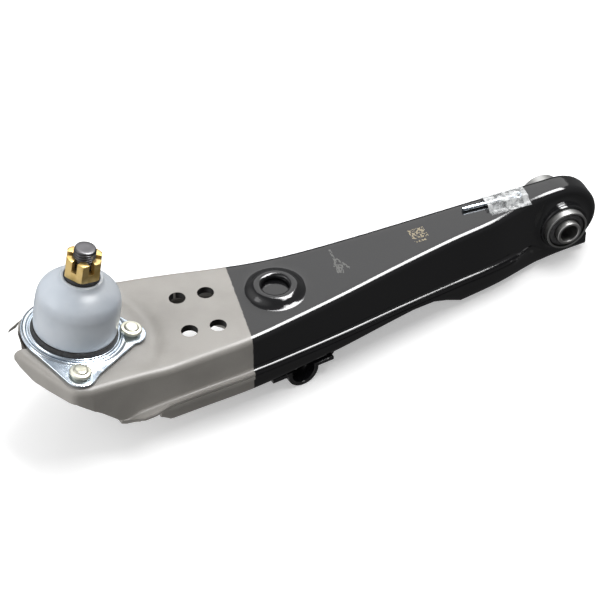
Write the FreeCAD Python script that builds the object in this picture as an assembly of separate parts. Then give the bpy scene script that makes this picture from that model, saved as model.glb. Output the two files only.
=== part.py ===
"""Lower suspension control arm: two welded steel stampings, a rubber pivot bush and a riveted ball joint.

Millimetres. The origin is the centre of the inboard pivot bush. +Y runs along the pivot bolt, +X points
inboard, away from the ball joint, and +Z is up, the way the ball stud points.
"""
import FreeCAD, Part
import math
import os

Vec = FreeCAD.Vector
X_AXIS = Vec(1, 0, 0)
Y_AXIS = Vec(0, 1, 0)
Z_AXIS = Vec(0, 0, 1)

# Arm stampings
TOP_Z = 30.0
SHEET = 3.0
LOFT_FOOT_Z = -20.0
FLANGE_WIDTH = 4.5
END_RADIUS = 31.5
PAN_OUTER_X = -348.0
PAN_OUTER_Z = -12.0
JOINT_Z_AT_BUSH = -20.0
JOINT_STEP_X = (-30.0, -26.0)
PAD_TILT = 9.67
PAD_BEND_X = -340.2
ARM_BOTTOM_Z = -30.0
# Wall lines, from the bush end to the ball-joint end: x, y at the top face, y at LOFT_FOOT_Z
NEAR_WALL = ((36, -12, -13), (-15, -13.5, -19), (-60, -26, -32), (-101, -34, -40.5), (-151, -46, -51.5),
             (-195, -57.5, -62), (-237, -67.5, -71), (-275, -75.5, -78), (-315, -79.5, -82),
             (-355, -83.7, -86.2), (-377, -87.3, -89.8), (-399, -91.2, -92.2))
FAR_WALL = ((36, 9, 10), (-15, 7, 10), (-77, 5, 9), (-127, 3, 7), (-176, 1.5, 5.5), (-216, 1.5, 5.5),
            (-246, 4, 7.5), (-275, 9, 12), (-304, 15, 18), (-340, 21, 23.5), (-375, 21, 23),
            (-400, 13, 14))
# Round the outer end, from the near wall to the far one: x, y at the top face
NOSE = ((-412.5, -90), (-424.5, -69.5), (-436.5, -46), (-439.5, -33), (-435.5, -13.5), (-410, 5.5))
NOSE_DRAFT = 1.0
# The side view's lower edge: x, z of the weld flange's underside
FLANGE_LINE = ((-30, -11), (-101, -8.5), (-195, -4), (-271, 0), (-374, 0), (-380, 3), (-394, 17), (-411, 30),
               (-431, 31), (-441, 41), (-445, 41))
PAN_LINE = ((-93, -29), (-118, -16), (-136, -14), (-200, -18), (-340, -18))
FLANGE_EAR = ((-384, -78), (-379, -86), (-372, -90), (-364, -94), (-355, -93), (-341, -84))
FLANGE_LEVEL_X = -374.0
FLANGE_END_X = -362.0
NOTCH = ((-455, -38.5), (-432.3, -38.5), (-430.2, -30), (-429, -19), (-424.3, -7.5), (-428, -11.8),
         (-436, -16.6), (-455, -28))
# Where the nose has no side wall, only the pad's sheet, placed from the ball joint's axis
TAB_CLEARANCE = ((-80, -3), (-28, -3), (-16, 28), (-16, 60), (-80, 60))

# Holes in the top face
STRUT_HOLE_R = 6.1
STRUT_CENTRE = (-300.0, -32.7)
STRUT_PITCH = (21.0, 35.8)
STRUT_TURN = -6.5
DOUBLER_SIZE = (62.0, 60.0)
DOUBLER_SHEET = 2.5
DOUBLER_CORNER = 8.0
LINK_CENTRE = (-240.0, -32.0)
LINK_HOLE_R = 10.0
LINK_RING_R = 15.0
LINK_BASE_R = 23.0
LINK_RISE = 5.0
PAN_WINDOW_R = 22.0
PAN_WINDOW_X = (-318.0, -284.0)
PAN_WINDOW_Y = -17.0

# Pivot bush
BUSH_R = 16.6
BUSH_SHEET = 1.6
BUSH_HALF = 24.7
CORE_R = 9.6
CORE_BORE_R = 7.25
CORE_HALF = 28.4
BOND_GAP = 0.05
RUBBER_DISH = 2.2
RUBBER_INSET = 0.4
COLLAR_SHEET = 2.6
COLLAR_REACH = 4.5
WELD_GAP = 0.3

# Ball joint
PLATE_TOP = Vec(-391.6, -31.0, 41.8)
BALL_Z = 27.0
BALL_R = 13.5
SEAT_GAP = 0.05
PLATE_SHEET = 3.0
PLATE_ROUND_R = 38.0
# Each rivet's distance from the joint's axis, and its bearing
RIVET_PLACES = ((47.0, -104.1), (40.1, -13.2), (38.5, 78.0))
LOBE_R = 11.3
WEB_INSET = 2.0
COLLAR_R = 31.1
BEAD_R = 35.4
HUB_SHIFT = 2.0
CUP_R = 24.0
CUP_BOTTOM_Z = -2.0
CUP_TOP_Z = 36.5
CAVITY_R = 19.0
CUP_MOUTH_R = 14.5
CUP_LIP = 2.5
CUP_FLANGE_R = 34.0
CUP_LOBE_R = 8.0
SPRING_TOP_Z = 9.0
PLUG_R = 4.0
PLUG_FLATS = 11.0
PLUG_HEAD = 4.5
BEARING_WELL_R = 4.0
LINER_SHEET = 1.95
LINER_OPENING = 51.0
LINER_DRAIN_R = 6.0
RIVET_R = 4.0
RIVET_HOLE_R = 4.1
RIVET_FOOT_R = 6.0
RIVET_HEAD_R = 7.9

# Ball stud, measured along its own axis from the ball's centre
THREAD_R = 7.9
TAPER_START = 25.0
TAPER_END = 54.0
TAPER_R = (10.2, 8.2)
STUD_LENGTH = 80.8
SEAL_SPAN = (54.6, 58.7)
SEAL_R = 12.6
NUT_SPAN = (59.0, 74.0)
NUT_FLATS = 24.0
SLOT_WIDTH = 4.2
SLOT_DEPTH = 8.5
NUT_TURN = 7.5
COTTER_HOLE_R = 1.8
STUD_NECK_R = 7.0
BALL_FLAT = 8.5

# Dust boot: radius and height of the outside and of the inside, foot first
BOOT_OUTSIDE = ((27.4, 33.7), (27.4, 37.7), (29.4, 37.7), (29.9, 43), (30.4, 51), (30.3, 59), (29.9, 65),
                (28.9, 68.5), (27.2, 71), (25.2, 73), (22.8, 75.5), (20.3, 78), (17.8, 80), (15.6, 81.6),
                (15.0, 83.2))
BOOT_INSIDE = ((13.0, 83.2), (13.0, 81.2), (15.5, 79.6), (18.6, 77.2), (21.2, 74.6), (23.6, 72), (25.6, 69.8),
               (27.2, 67.2), (28.1, 64), (28.5, 59), (28.6, 51), (28.1, 43), (27.6, 39.5), (25.6, 38.8),
               (25.6, 33.7))

# Stop bracket under the near flange
BRACKET_LENGTH = 51.0
BRACKET_DEPTH = 22.0
BRACKET_CORNER = Vec(-258.5, -73.0, 0.0)
BRACKET_TURN = 8.0
BRACKET_SHEET = 3.2
HUMP_CENTRE = 25.5
HUMP_R = 12.5
BRACKET_FOOT_Z = -18.0
FLOOR_Z = -34.0

# Cotter pin taped to the top face
PIN_R = 1.6
PIN_START = Vec(-79.0, -5.0, 31.7)
PIN_END = Vec(-37.0, -6.0, 31.7)
PIN_SPLIT = 0.25
PIN_EYE_R = 2.9
PIN_EYE_WIRE_R = 1.2
TAPE_SHEET = 0.3
TAPE_SPAN = (-61.0, -28.0)
TAPE_Y = (-18.0, 4.5)
TAPE_LIFT = 3.6
TENT_FOOT = 8.0
TENT_TOP = 5.0

# The block of space that holds the whole arm, for cutting
SPACE_X = (-500.0, 100.0)
SPACE_Y = (-130.0, 70.0)
SPACE_Z = (-60.0, 70.0)


def cylinder(radius, low, high, centre=(0.0, 0.0)):
    return Part.makeCylinder(radius, high - low, Vec(centre[0], centre[1], low))


def ring(outer, inner, low, high, centre=(0.0, 0.0)):
    return cylinder(outer, low, high, centre).cut(cylinder(inner, low - 1, high + 1, centre))


def tube_y(outer, inner, low, high):
    solid = Part.makeCylinder(outer, high - low, Vec(0, low, 0), Y_AXIS)
    return solid.cut(Part.makeCylinder(inner, high - low + 2, Vec(0, low - 1, 0), Y_AXIS))


def prism(points, low, high):
    wire = Part.makePolygon([Vec(x, y, low) for x, y in points + (points[0],)])
    return Part.Face(wire).extrude(Vec(0, 0, high - low))


def slab(low, high, start_x=SPACE_X[0], end_x=SPACE_X[1]):
    """All of the arm's space between two heights, and between two stations along it."""
    corner = Vec(start_x, SPACE_Y[0], low)
    return Part.makeBox(end_x - start_x, SPACE_Y[1] - SPACE_Y[0], high - low, corner)


def side_prism(points, low=SPACE_Y[0], high=SPACE_Y[1]):
    """A closed outline in the XZ plane, extruded along Y from low to high."""
    wire = Part.makePolygon([Vec(x, low, z) for x, z in points + (points[0],)])
    return Part.Face(wire).extrude(Vec(0, high - low, 0))


def turned(points):
    """A closed radius, height outline turned about Z."""
    wire = Part.makePolygon([Vec(r, 0, z) for r, z in points + (points[0],)])
    return Part.Face(wire).revolve(Vec(0, 0, 0), Z_AXIS, 360)


def on_joint(shape):
    """Move a shape built about Z, with the plate's top one sheet above TOP_Z, onto the sloping pad."""
    shape.translate(Vec(0, 0, -TOP_Z - PLATE_SHEET))
    shape.rotate(Vec(0, 0, 0), Y_AXIS, PAD_TILT)
    shape.translate(PLATE_TOP)
    return shape


def on_stud(shape):
    """Move a shape built about Z, from the ball's centre, onto the stud."""
    shape.translate(Vec(0, 0, BALL_Z))
    return on_joint(shape)


def rivet_centres():
    return [(pitch * math.cos(math.radians(turn)), pitch * math.sin(math.radians(turn)))
            for pitch, turn in RIVET_PLACES]


def curve(points):
    spline = Part.BSplineCurve()
    spline.interpolate(points)
    return spline.toShape()


def line(start, end):
    return Part.LineSegment(start, end).toShape()


def inset_corner(before, at, after, inset):
    """The corner of a clockwise outline, moved inwards so that both its sides move by inset."""
    sides = [(at[0] - before[0], at[1] - before[1]), (after[0] - at[0], after[1] - at[1])]
    normals = [(y / math.hypot(x, y), -x / math.hypot(x, y)) for x, y in sides]
    share = 1 + normals[0][0] * normals[1][0] + normals[0][1] * normals[1][1]
    return [at[k] + inset * (normals[0][k] + normals[1][k]) / share for k in (0, 1)]


def outline(row, z, inset):
    """The arm's plan outline at height z, from column row of the wall lines, moved inwards by inset."""
    near = [Vec(station[0], station[row] + inset, z) for station in NEAR_WALL]
    far = [Vec(station[0], station[row] - inset, z) for station in FAR_WALL]
    draft = 0 if row == 1 else NOSE_DRAFT
    turn = (NEAR_WALL[-1][:2],) + NOSE + (FAR_WALL[-1][:2],)
    corners = [inset_corner(*turn[k:k + 3], inset - draft) for k in range(len(NOSE))]
    nose_line = [near[-1]] + [Vec(x, y, z) for x, y in corners] + [far[-1]]
    edges = [curve(near)]
    edges += [line(a, b) for a, b in zip(nose_line[:-1], nose_line[1:])]
    edges += [curve(far[::-1]), line(far[0], near[0])]
    return Part.Wire(edges)


def under_top(drop):
    """Everything below the top face, which slopes up beyond the bend, lowered square to itself by drop."""
    tilt = math.radians(PAD_TILT)
    bend = PAD_BEND_X - drop * math.tan(tilt / 2)
    level = TOP_Z - drop
    outer = level + (bend - SPACE_X[0]) * math.tan(tilt)
    return side_prism(((SPACE_X[0], outer), (bend, level), (SPACE_X[1], level), (SPACE_X[1], SPACE_Z[0]),
                       (SPACE_X[0], SPACE_Z[0])))


def body_block(inset):
    """The drawn channel's outer form, or its hollow when inset by the sheet."""
    top_line = outline(1, TOP_Z, inset)
    walls = Part.makeLoft([top_line, outline(2, LOFT_FOOT_Z, inset)], True, True)
    nose = Part.Face(top_line).extrude(Vec(0, 0, SPACE_Z[1] - TOP_Z))
    return walls.fuse(nose).common(under_top(inset))


def end_profile(radius, low, high):
    """Everything behind the rounded inboard end, as a block across the arm."""
    reach = Part.makeCylinder(radius, SPACE_Y[1] - SPACE_Y[0], Vec(0, SPACE_Y[0], 0), Y_AXIS)
    return reach.fuse(slab(low, high, SPACE_X[0], 0))


def above_flange():
    """Everything above the underside of the weld flange."""
    inboard = ((SPACE_X[1], SPACE_Z[1]), (SPACE_X[1], JOINT_Z_AT_BUSH), (JOINT_STEP_X[1], JOINT_Z_AT_BUSH))
    outboard = ((SPACE_X[0], FLANGE_LINE[-1][1]), (SPACE_X[0], SPACE_Z[1]))
    return side_prism(inboard + FLANGE_LINE + outboard)


def flange_band(low, high, end_x):
    """The strip between two heights that follows the weld flange's line as far as end_x."""
    level = tuple(p for p in FLANGE_LINE if p[0] >= FLANGE_LEVEL_X)
    lower = tuple((x, z + low) for x, z in level)
    upper = tuple((x, z + high) for x, z in level)
    return side_prism(lower + upper[::-1]).common(slab(*SPACE_Z, end_x, SPACE_X[1]))


def flange_plan():
    """The flange's outline minus the space inside the walls."""
    near = tuple((x, foot - FLANGE_WIDTH) for x, top, foot in NEAR_WALL)
    far = tuple((x, foot + FLANGE_WIDTH) for x, top, foot in FAR_WALL)
    return prism(near + far[::-1], *SPACE_Z).cut(body_block(SHEET))


def strut_points():
    turn = math.radians(STRUT_TURN)
    points = []
    for side_x in (-0.5, 0.5):
        for side_y in (-0.5, 0.5):
            along = side_x * STRUT_PITCH[0]
            across = side_y * STRUT_PITCH[1]
            points.append((STRUT_CENTRE[0] + along * math.cos(turn) - across * math.sin(turn),
                           STRUT_CENTRE[1] + along * math.sin(turn) + across * math.cos(turn)))
    return points


def link_boss():
    """A raised ring round the stabiliser-link hole, with its hollow underside."""
    outer = ((LINK_HOLE_R, TOP_Z - SHEET), (LINK_BASE_R, TOP_Z - SHEET), (LINK_BASE_R, TOP_Z),
             (LINK_RING_R, TOP_Z + LINK_RISE), (LINK_HOLE_R, TOP_Z + LINK_RISE))
    hollow = ((LINK_HOLE_R - 1, TOP_Z - SHEET - 1), (LINK_BASE_R - 3, TOP_Z - SHEET - 1),
              (LINK_BASE_R - 3, TOP_Z - SHEET), (LINK_RING_R - 1, TOP_Z + LINK_RISE - SHEET),
              (LINK_HOLE_R - 1, TOP_Z + LINK_RISE - SHEET))
    boss = turned(outer).cut(turned(hollow))
    boss.translate(Vec(LINK_CENTRE[0], LINK_CENTRE[1], 0))
    return boss


def lip_edge(side):
    """The y of the turned-out lip's edge: side -1 is the near wall, 1 the far one."""
    wall = NEAR_WALL if side < 0 else FAR_WALL
    return wall[0][1] + side * COLLAR_REACH


def bush_collars():
    """The turned-out lip of each wall round the bush."""
    outer = BUSH_R + COLLAR_SHEET
    near = tube_y(outer, BUSH_R, lip_edge(-1), NEAR_WALL[0][1] + SHEET)
    far = tube_y(outer, BUSH_R, FAR_WALL[0][1] - SHEET, lip_edge(1))
    return near.fuse(far)


def weld_room():
    """The space beyond each lip, where the bush's weld bead lies."""
    outer = BUSH_R + COLLAR_SHEET + WELD_GAP
    near = Part.makeCylinder(outer, lip_edge(-1) - SPACE_Y[0], Vec(0, SPACE_Y[0], 0), Y_AXIS)
    far = Part.makeCylinder(outer, SPACE_Y[1] - lip_edge(1), Vec(0, lip_edge(1), 0), Y_AXIS)
    return near.fuse(far)


def largest(shape):
    """The one solid wanted from a cut that also leaves slivers."""
    return max(shape.removeSplitter().Solids, key=lambda solid: solid.Volume)


def drilled(shape, radius, centres):
    """Round holes straight down through a sheet."""
    for centre in centres:
        shape = shape.cut(cylinder(radius, 0, SPACE_Z[1], centre))
    return shape


def drilled_pad(shape, radius, centres):
    """Round holes through the sloping pad, placed from the ball joint's axis."""
    for centre in centres:
        shape = shape.cut(on_joint(cylinder(radius, TOP_Z - 3 * SHEET, TOP_Z + 3 * SHEET, centre)))
    return shape


def upper_stamping():
    outer = body_block(0).common(end_profile(END_RADIUS, LOFT_FOOT_Z, SPACE_Z[1]))
    hollow = body_block(SHEET).common(end_profile(END_RADIUS - SHEET, LOFT_FOOT_Z, SPACE_Z[1]))
    channel = outer.cut(hollow).common(above_flange())
    flange = flange_plan().common(flange_band(0, SHEET, FLANGE_END_X))
    ear = prism(FLANGE_EAR, 0, SHEET).cut(body_block(SHEET))
    shell = channel.fuse(flange).fuse(ear).fuse(bush_collars()).cut(weld_room())
    shell = drilled(shell, LINK_BASE_R, [LINK_CENTRE]).fuse(link_boss())
    shell = shell.cut(prism(NOTCH, *SPACE_Z))
    shell = shell.cut(on_joint(prism(TAB_CLEARANCE, SPACE_Z[0], TOP_Z - SHEET)))
    shell = drilled_pad(shell, CUP_R + SEAT_GAP, [(0.0, 0.0)])
    shell = drilled_pad(shell, RIVET_HOLE_R, rivet_centres())
    shell = drilled(shell, STRUT_HOLE_R, strut_points())
    bore = Part.makeCylinder(BUSH_R, SPACE_Y[1] - SPACE_Y[0], Vec(0, SPACE_Y[0], 0), Y_AXIS)
    return largest(shell.cut(bore))


def pan_side(rise):
    """The pan's side outline, from its web up to the joint line, with the web moved up by rise."""
    web = ((SPACE_X[1], ARM_BOTTOM_Z + rise),) + tuple((x, z + rise) for x, z in PAN_LINE)
    outer_end = ((PAN_OUTER_X, PAN_OUTER_Z + rise), (PAN_OUTER_X, -SHEET))
    joint = tuple(point for point in FLANGE_LINE[::-1] if point[0] > PAN_OUTER_X)
    inboard = ((JOINT_STEP_X[1], JOINT_Z_AT_BUSH), (SPACE_X[1], JOINT_Z_AT_BUSH))
    return side_prism(web + outer_end + joint + inboard)


def pan_block(inset):
    """The pan continues the upper walls straight down."""
    block = Part.Face(outline(2, SPACE_Z[0], inset)).extrude(Vec(0, 0, SPACE_Z[1] - SPACE_Z[0]))
    return block.common(slab(*SPACE_Z, PAN_OUTER_X, SPACE_X[1]))


def pan_window():
    """The long access hole in the pan's web, under the strut-rod holes."""
    start, end = PAN_WINDOW_X
    low, high = ARM_BOTTOM_Z, -SHEET
    corner = Vec(start, PAN_WINDOW_Y - PAN_WINDOW_R, low)
    middle = Part.makeBox(end - start, 2 * PAN_WINDOW_R, high - low, corner)
    for x in PAN_WINDOW_X:
        middle = middle.fuse(cylinder(PAN_WINDOW_R, low, high, (x, PAN_WINDOW_Y)))
    return middle


def lower_stamping():
    outer = pan_block(0).common(pan_side(0)).common(end_profile(END_RADIUS, ARM_BOTTOM_Z, -SHEET))
    hollow = pan_block(SHEET).common(pan_side(SHEET))
    flange = flange_plan().common(flange_band(-SHEET, 0, PAN_OUTER_X))
    pan = outer.cut(hollow).fuse(flange).cut(above_flange())
    pan = pan.cut(pan_window())
    pan = pan.cut(cylinder(LINK_RING_R, SPACE_Z[0], -SHEET, LINK_CENTRE))
    return largest(pan)


def strut_doubler():
    """The thickening plate under the top sheet, with the same four holes."""
    half_x, half_y = DOUBLER_SIZE[0] / 2, DOUBLER_SIZE[1] / 2
    short_x, short_y = half_x - DOUBLER_CORNER, half_y - DOUBLER_CORNER
    points = ((-half_x, -short_y), (-short_x, -half_y), (short_x, -half_y), (half_x, -short_y),
              (half_x, short_y), (short_x, half_y), (-short_x, half_y), (-half_x, short_y))
    top = TOP_Z - SHEET
    plate = prism(points, top - DOUBLER_SHEET, top)
    plate.rotate(Vec(0, 0, 0), Z_AXIS, STRUT_TURN)
    plate.translate(Vec(STRUT_CENTRE[0], STRUT_CENTRE[1], 0))
    return drilled(plate, STRUT_HOLE_R, strut_points())


def bush_outer_sleeve():
    return tube_y(BUSH_R, BUSH_R - BUSH_SHEET, -BUSH_HALF, BUSH_HALF)


def bush_rubber():
    outer = BUSH_R - BUSH_SHEET
    inner = CORE_R + BOND_GAP
    middle = (outer + inner) / 2
    edge = BUSH_HALF - RUBBER_INSET
    face = edge - RUBBER_DISH
    body = turned(((inner, -edge), (middle, -face), (outer, -edge), (outer, edge), (middle, face),
                   (inner, edge)))
    body.rotate(Vec(0, 0, 0), X_AXIS, 90)
    return body


def bush_inner_sleeve():
    return tube_y(CORE_R, CORE_BORE_R, -CORE_HALF, CORE_HALF)


def lobed_plate(low, high, round_r, lobe_r):
    """A round plate with three lobes, joined by straight webs, drilled for its rivets."""
    plate = cylinder(round_r, low, high)
    centres = rivet_centres()
    for centre in centres:
        plate = plate.fuse(cylinder(lobe_r, low, high, centre))
    for a, b in zip(centres[:-1], centres[1:]):
        plate = plate.fuse(tangent_web(a, lobe_r - WEB_INSET, b, lobe_r - WEB_INSET, low, high))
    away = math.radians(RIVET_PLACES[0][1] - 90)
    hub = (HUB_SHIFT * math.cos(away), HUB_SHIFT * math.sin(away))
    for centre in (centres[0], centres[-1]):
        plate = plate.fuse(tangent_web(centre, lobe_r, hub, round_r - HUB_SHIFT, low, high))
    return drilled(plate, RIVET_HOLE_R, centres).removeSplitter()


def tangent_web(a, a_r, b, b_r, low, high):
    """The plate between two circles and their two outer tangents."""
    span = math.hypot(b[0] - a[0], b[1] - a[1])
    heading = math.atan2(b[1] - a[1], b[0] - a[0])
    lean = math.acos((a_r - b_r) / span)
    corners = []
    for centre, radius, sign in ((a, a_r, 1), (b, b_r, 1), (b, b_r, -1), (a, a_r, -1)):
        turn = heading + sign * lean
        corners.append((centre[0] + radius * math.cos(turn), centre[1] + radius * math.sin(turn)))
    return prism(tuple(corners), low, high)


def ball_joint_plate():
    """The pressed plate on the arm: a bead, and a low lip round the boot's foot ring."""
    top = TOP_Z + PLATE_SHEET
    raised = turned(((CUP_R, top), (BEAD_R + 2.0, top), (BEAD_R + 1.2, top + 0.8), (BEAD_R, top + 1.2),
                     (BEAD_R - 1.2, top + 0.8), (COLLAR_R + 2.2, top + 0.3), (COLLAR_R + 1.5, top + 0.4),
                     (COLLAR_R + 1.1, top + 1.2), (COLLAR_R + 0.6, top + 1.5), (COLLAR_R, top + 1.1),
                     (COLLAR_R, top + 0.6), (CUP_R, top + 0.6)))
    for centre in rivet_centres():
        raised = raised.cut(cylinder(RIVET_FOOT_R + WELD_GAP, top, top + PLATE_SHEET, centre))
    plate = lobed_plate(TOP_Z, top, PLATE_ROUND_R, LOBE_R).fuse(raised)
    return on_joint(drilled(plate, CUP_R + SEAT_GAP, [(0.0, 0.0)]))


def ball_joint_cup():
    """The forged cup, with its own lobed flange clamped under the arm's top sheet."""
    flange_top = TOP_Z - SHEET
    flange = lobed_plate(flange_top - PLATE_SHEET, flange_top, CUP_FLANGE_R, CUP_LOBE_R)
    cup = cylinder(CUP_R, CUP_BOTTOM_Z, CUP_TOP_Z).fuse(flange)
    lip_z = CUP_TOP_Z - CUP_LIP
    cover_r = CAVITY_R - 1.5
    cavity = turned(((0, CUP_BOTTOM_Z - 1), (cover_r, CUP_BOTTOM_Z - 1), (cover_r, 0), (CAVITY_R, 0),
                     (CAVITY_R, lip_z), (CUP_MOUTH_R, lip_z), (CUP_MOUTH_R + 1.5, CUP_TOP_Z + 1),
                     (0, CUP_TOP_Z + 1)))
    return on_joint(cup.cut(cavity))


def ball(radius):
    return Part.makeSphere(radius, Vec(0, 0, BALL_Z))


def ball_liner():
    """The thin shell round the ball, open at the top for the stud's swing and drained below."""
    inner = BALL_R + SEAT_GAP
    shell = ball(inner + LINER_SHEET).cut(ball(inner))
    reach = 2 * BALL_R
    mouth = Part.makeCone(0, reach * math.tan(math.radians(LINER_OPENING)), reach, Vec(0, 0, BALL_Z), Z_AXIS)
    return on_joint(shell.cut(mouth).cut(cylinder(LINER_DRAIN_R, 0, BALL_Z)))


def bearing(low, high, inner):
    """One half of the seat round the liner."""
    return on_joint(ring(CAVITY_R, inner, low, high).cut(ball(BALL_R + LINER_SHEET + 2 * SEAT_GAP)))


def upper_bearing():
    return bearing(BALL_Z + 0.5, CUP_TOP_Z - CUP_LIP, CUP_MOUTH_R - 1.5)


def lower_bearing():
    return bearing(SPRING_TOP_Z, BALL_Z - 0.5, BEARING_WELL_R)


def preload_spring():
    """A coned disc spring between the cover and the lower bearing."""
    low, high, thick = 3.2, SPRING_TOP_Z, 1.6
    return on_joint(turned(((16.0, low), (17.5, low), (17.5, low + thick), (9.0, high), (7.0, high),
                                (7.0, high - thick))))


def cup_cover():
    """The pressed disc that closes the cup, threaded for the grease plug."""
    plug = PLUG_R + 0.1
    return on_joint(turned(((plug, 0.0), (CAVITY_R, 0.0), (CAVITY_R, 3.0), (12.0, 3.0), (9.0, 1.6),
                                (plug, 1.6))))


def grease_plug():
    head = hexagon(PLUG_FLATS, -PLUG_HEAD, 0.0)
    return on_joint(head.fuse(cylinder(PLUG_R, 0.0, PLUG_HEAD)))


def hexagon(flats, low, high):
    radius = flats / math.sqrt(3)
    points = tuple((radius * math.cos(math.radians(60 * k)), radius * math.sin(math.radians(60 * k)))
                   for k in range(6))
    return prism(points, low, high)


def flange_rivets():
    """Three rivets: a disc head on a shoulder above the plate, and a plain head below the cup's flange."""
    top = TOP_Z + PLATE_SHEET
    low = TOP_Z - SHEET - PLATE_SHEET
    shape = ((0, low - 3.5), (5.5, low - 3.5), (7.0, low - 2.0), (7.0, low), (RIVET_R, low), (RIVET_R, top),
             (RIVET_FOOT_R, top), (RIVET_FOOT_R, top + 2.2), (RIVET_HEAD_R, top + 2.6),
             (RIVET_HEAD_R, top + 3.8), (7.2, top + 4.4), (5.2, top + 4.4), (4.8, top + 5.6),
             (3.8, top + 6.1), (0, top + 6.1))
    rivets = []
    for x, y in rivet_centres():
        rivet = turned(shape)
        rivet.translate(Vec(x, y, 0))
        rivets.append(on_joint(rivet))
    return Part.makeCompound(rivets)


def ball_stud():
    """Ball, neck, taper and threaded end in one forging, drilled for the split pin."""
    round_end = Part.makeSphere(BALL_R).common(cylinder(2 * BALL_R, -BALL_FLAT, BALL_R))
    shank = turned(((0, 0), (STUD_NECK_R, 0), (STUD_NECK_R, 14.0), (8.0, 18.0), (TAPER_R[0], TAPER_START),
                    (TAPER_R[1], TAPER_END), (THREAD_R, TAPER_END + 1.0), (THREAD_R, STUD_LENGTH - 1.2),
                    (THREAD_R - 1.2, STUD_LENGTH), (0, STUD_LENGTH)))
    hole_z = NUT_SPAN[1] - SLOT_DEPTH / 2
    hole = Part.makeCylinder(COTTER_HOLE_R, 4 * THREAD_R, Vec(0, -2 * THREAD_R, hole_z), Y_AXIS)
    return on_stud(round_end.fuse(shank).cut(hole))


def castle_nut():
    """A hexagon with a slot across each pair of flats, bevelled at both ends."""
    low, high = NUT_SPAN
    corner = NUT_FLATS / math.sqrt(3)
    bevel = turned(((0, low), (corner - 1.0, low), (corner + 0.4, low + 0.9), (corner + 0.4, high - 1.0),
                    (corner - 1.3, high), (0, high)))
    nut = hexagon(NUT_FLATS, low, high).common(bevel)
    nut = nut.cut(cylinder(THREAD_R + SEAT_GAP, low - 1, high + 1))
    reach = 2 * NUT_FLATS
    for k in range(3):
        slot = Part.makeBox(reach, SLOT_WIDTH, SLOT_DEPTH + 1,
                            Vec(-reach / 2, -SLOT_WIDTH / 2, high - SLOT_DEPTH))
        slot.rotate(Vec(0, 0, 0), Z_AXIS, 30 + 60 * k)
        nut = nut.cut(slot)
    nut.rotate(Vec(0, 0, 0), Z_AXIS, NUT_TURN)
    return on_stud(nut)


def boot_seal_lip():
    low, high = SEAL_SPAN
    return on_stud(turned(((TAPER_R[1] + 0.4, low), (SEAL_R - 0.8, low), (SEAL_R, low + 0.9),
                           (SEAL_R - 0.6, high), (TAPER_R[1] + 0.4, high))))


def dust_boot():
    return on_joint(turned(BOOT_OUTSIDE + BOOT_INSIDE))


def boot_retaining_ring():
    """The ring pressed into the plate's lip, round the boot's foot."""
    inner, outer = BOOT_OUTSIDE[0][0] + SEAT_GAP, COLLAR_R - SEAT_GAP
    low, high = TOP_Z + PLATE_SHEET + 0.65, BOOT_OUTSIDE[1][1] - 0.1
    return on_joint(turned(((inner, low), (outer, low), (outer, low + 1.0), (outer - 1.3, high),
                            (inner, high))))


def on_bracket(shape):
    """Move a shape from the bracket's own corner to its place along the near wall."""
    shape.rotate(Vec(0, 0, 0), Z_AXIS, BRACKET_TURN)
    shape.translate(BRACKET_CORNER)
    return shape


def hump_block(radius):
    """A round-bottomed block across the bracket, down from the feet."""
    centre = Vec(HUMP_CENTRE, 0, FLOOR_Z + HUMP_R)
    round_part = Part.makeCylinder(radius, BRACKET_DEPTH, centre, Y_AXIS)
    straight = Part.makeBox(2 * radius, BRACKET_DEPTH, BRACKET_FOOT_Z - centre.z,
                            Vec(HUMP_CENTRE - radius, 0, centre.z))
    below = Part.makeBox(BRACKET_LENGTH, BRACKET_DEPTH, 40, Vec(0, 0, BRACKET_FOOT_Z - 40))
    return round_part.fuse(straight).common(below)


def stop_bracket():
    """A bent strip: two flat feet and a round hump between them that hangs down."""
    corner = Vec(0, 0, BRACKET_FOOT_Z - BRACKET_SHEET)
    feet = Part.makeBox(BRACKET_LENGTH, BRACKET_DEPTH, BRACKET_SHEET, corner)
    strip = feet.fuse(hump_block(HUMP_R)).cut(hump_block(HUMP_R - BRACKET_SHEET))
    return on_bracket(strip.removeSplitter())


def bracket_welds():
    """A fillet bead along the outer end of each bracket foot."""
    beads = []
    size = 2.4
    for x, side in ((0, -1), (BRACKET_LENGTH, 1)):
        points = ((x, BRACKET_FOOT_Z), (x + side * size, BRACKET_FOOT_Z),
                  (x + side * size * 0.6, BRACKET_FOOT_Z - size * 0.6), (x, BRACKET_FOOT_Z - size))
        beads.append(on_bracket(side_prism(points, 4, BRACKET_DEPTH - 3)))
    return Part.makeCompound(beads)


def bush_welds():
    """The bead that ties the outer sleeve to each wall's turned-out lip."""
    beads = []
    inner = BUSH_R + SEAT_GAP
    for side in (-1, 1):
        bead = turned(((inner, 0), (BUSH_R + COLLAR_SHEET, 0), (BUSH_R + 1.4, 1.3), (inner, 1.8)))
        bead.rotate(Vec(0, 0, 0), X_AXIS, -90 * side)
        bead.translate(Vec(0, lip_edge(side), 0))
        beads.append(bead)
    return Part.makeCompound(beads)


def cotter_pin():
    """A split pin lying flat on the top face: a round wire, slit along its length, with an eye."""
    run = PIN_END.sub(PIN_START)
    wire = Part.makeCylinder(PIN_R, run.Length, Vec(0, 0, 0), X_AXIS)
    eye_x = run.Length + PIN_EYE_R - PIN_EYE_WIRE_R / 2
    eye = Part.makeTorus(PIN_EYE_R, PIN_EYE_WIRE_R, Vec(eye_x, 0, 0), Z_AXIS)
    slit = Part.makeBox(run.Length - PIN_R, PIN_SPLIT, 4 * PIN_R, Vec(0, -PIN_SPLIT / 2, -2 * PIN_R))
    pin = wire.cut(slit).fuse(eye)
    pin.rotate(Vec(0, 0, 0), Z_AXIS, math.degrees(math.atan2(run.y, run.x)))
    pin.translate(PIN_START)
    return pin


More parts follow.
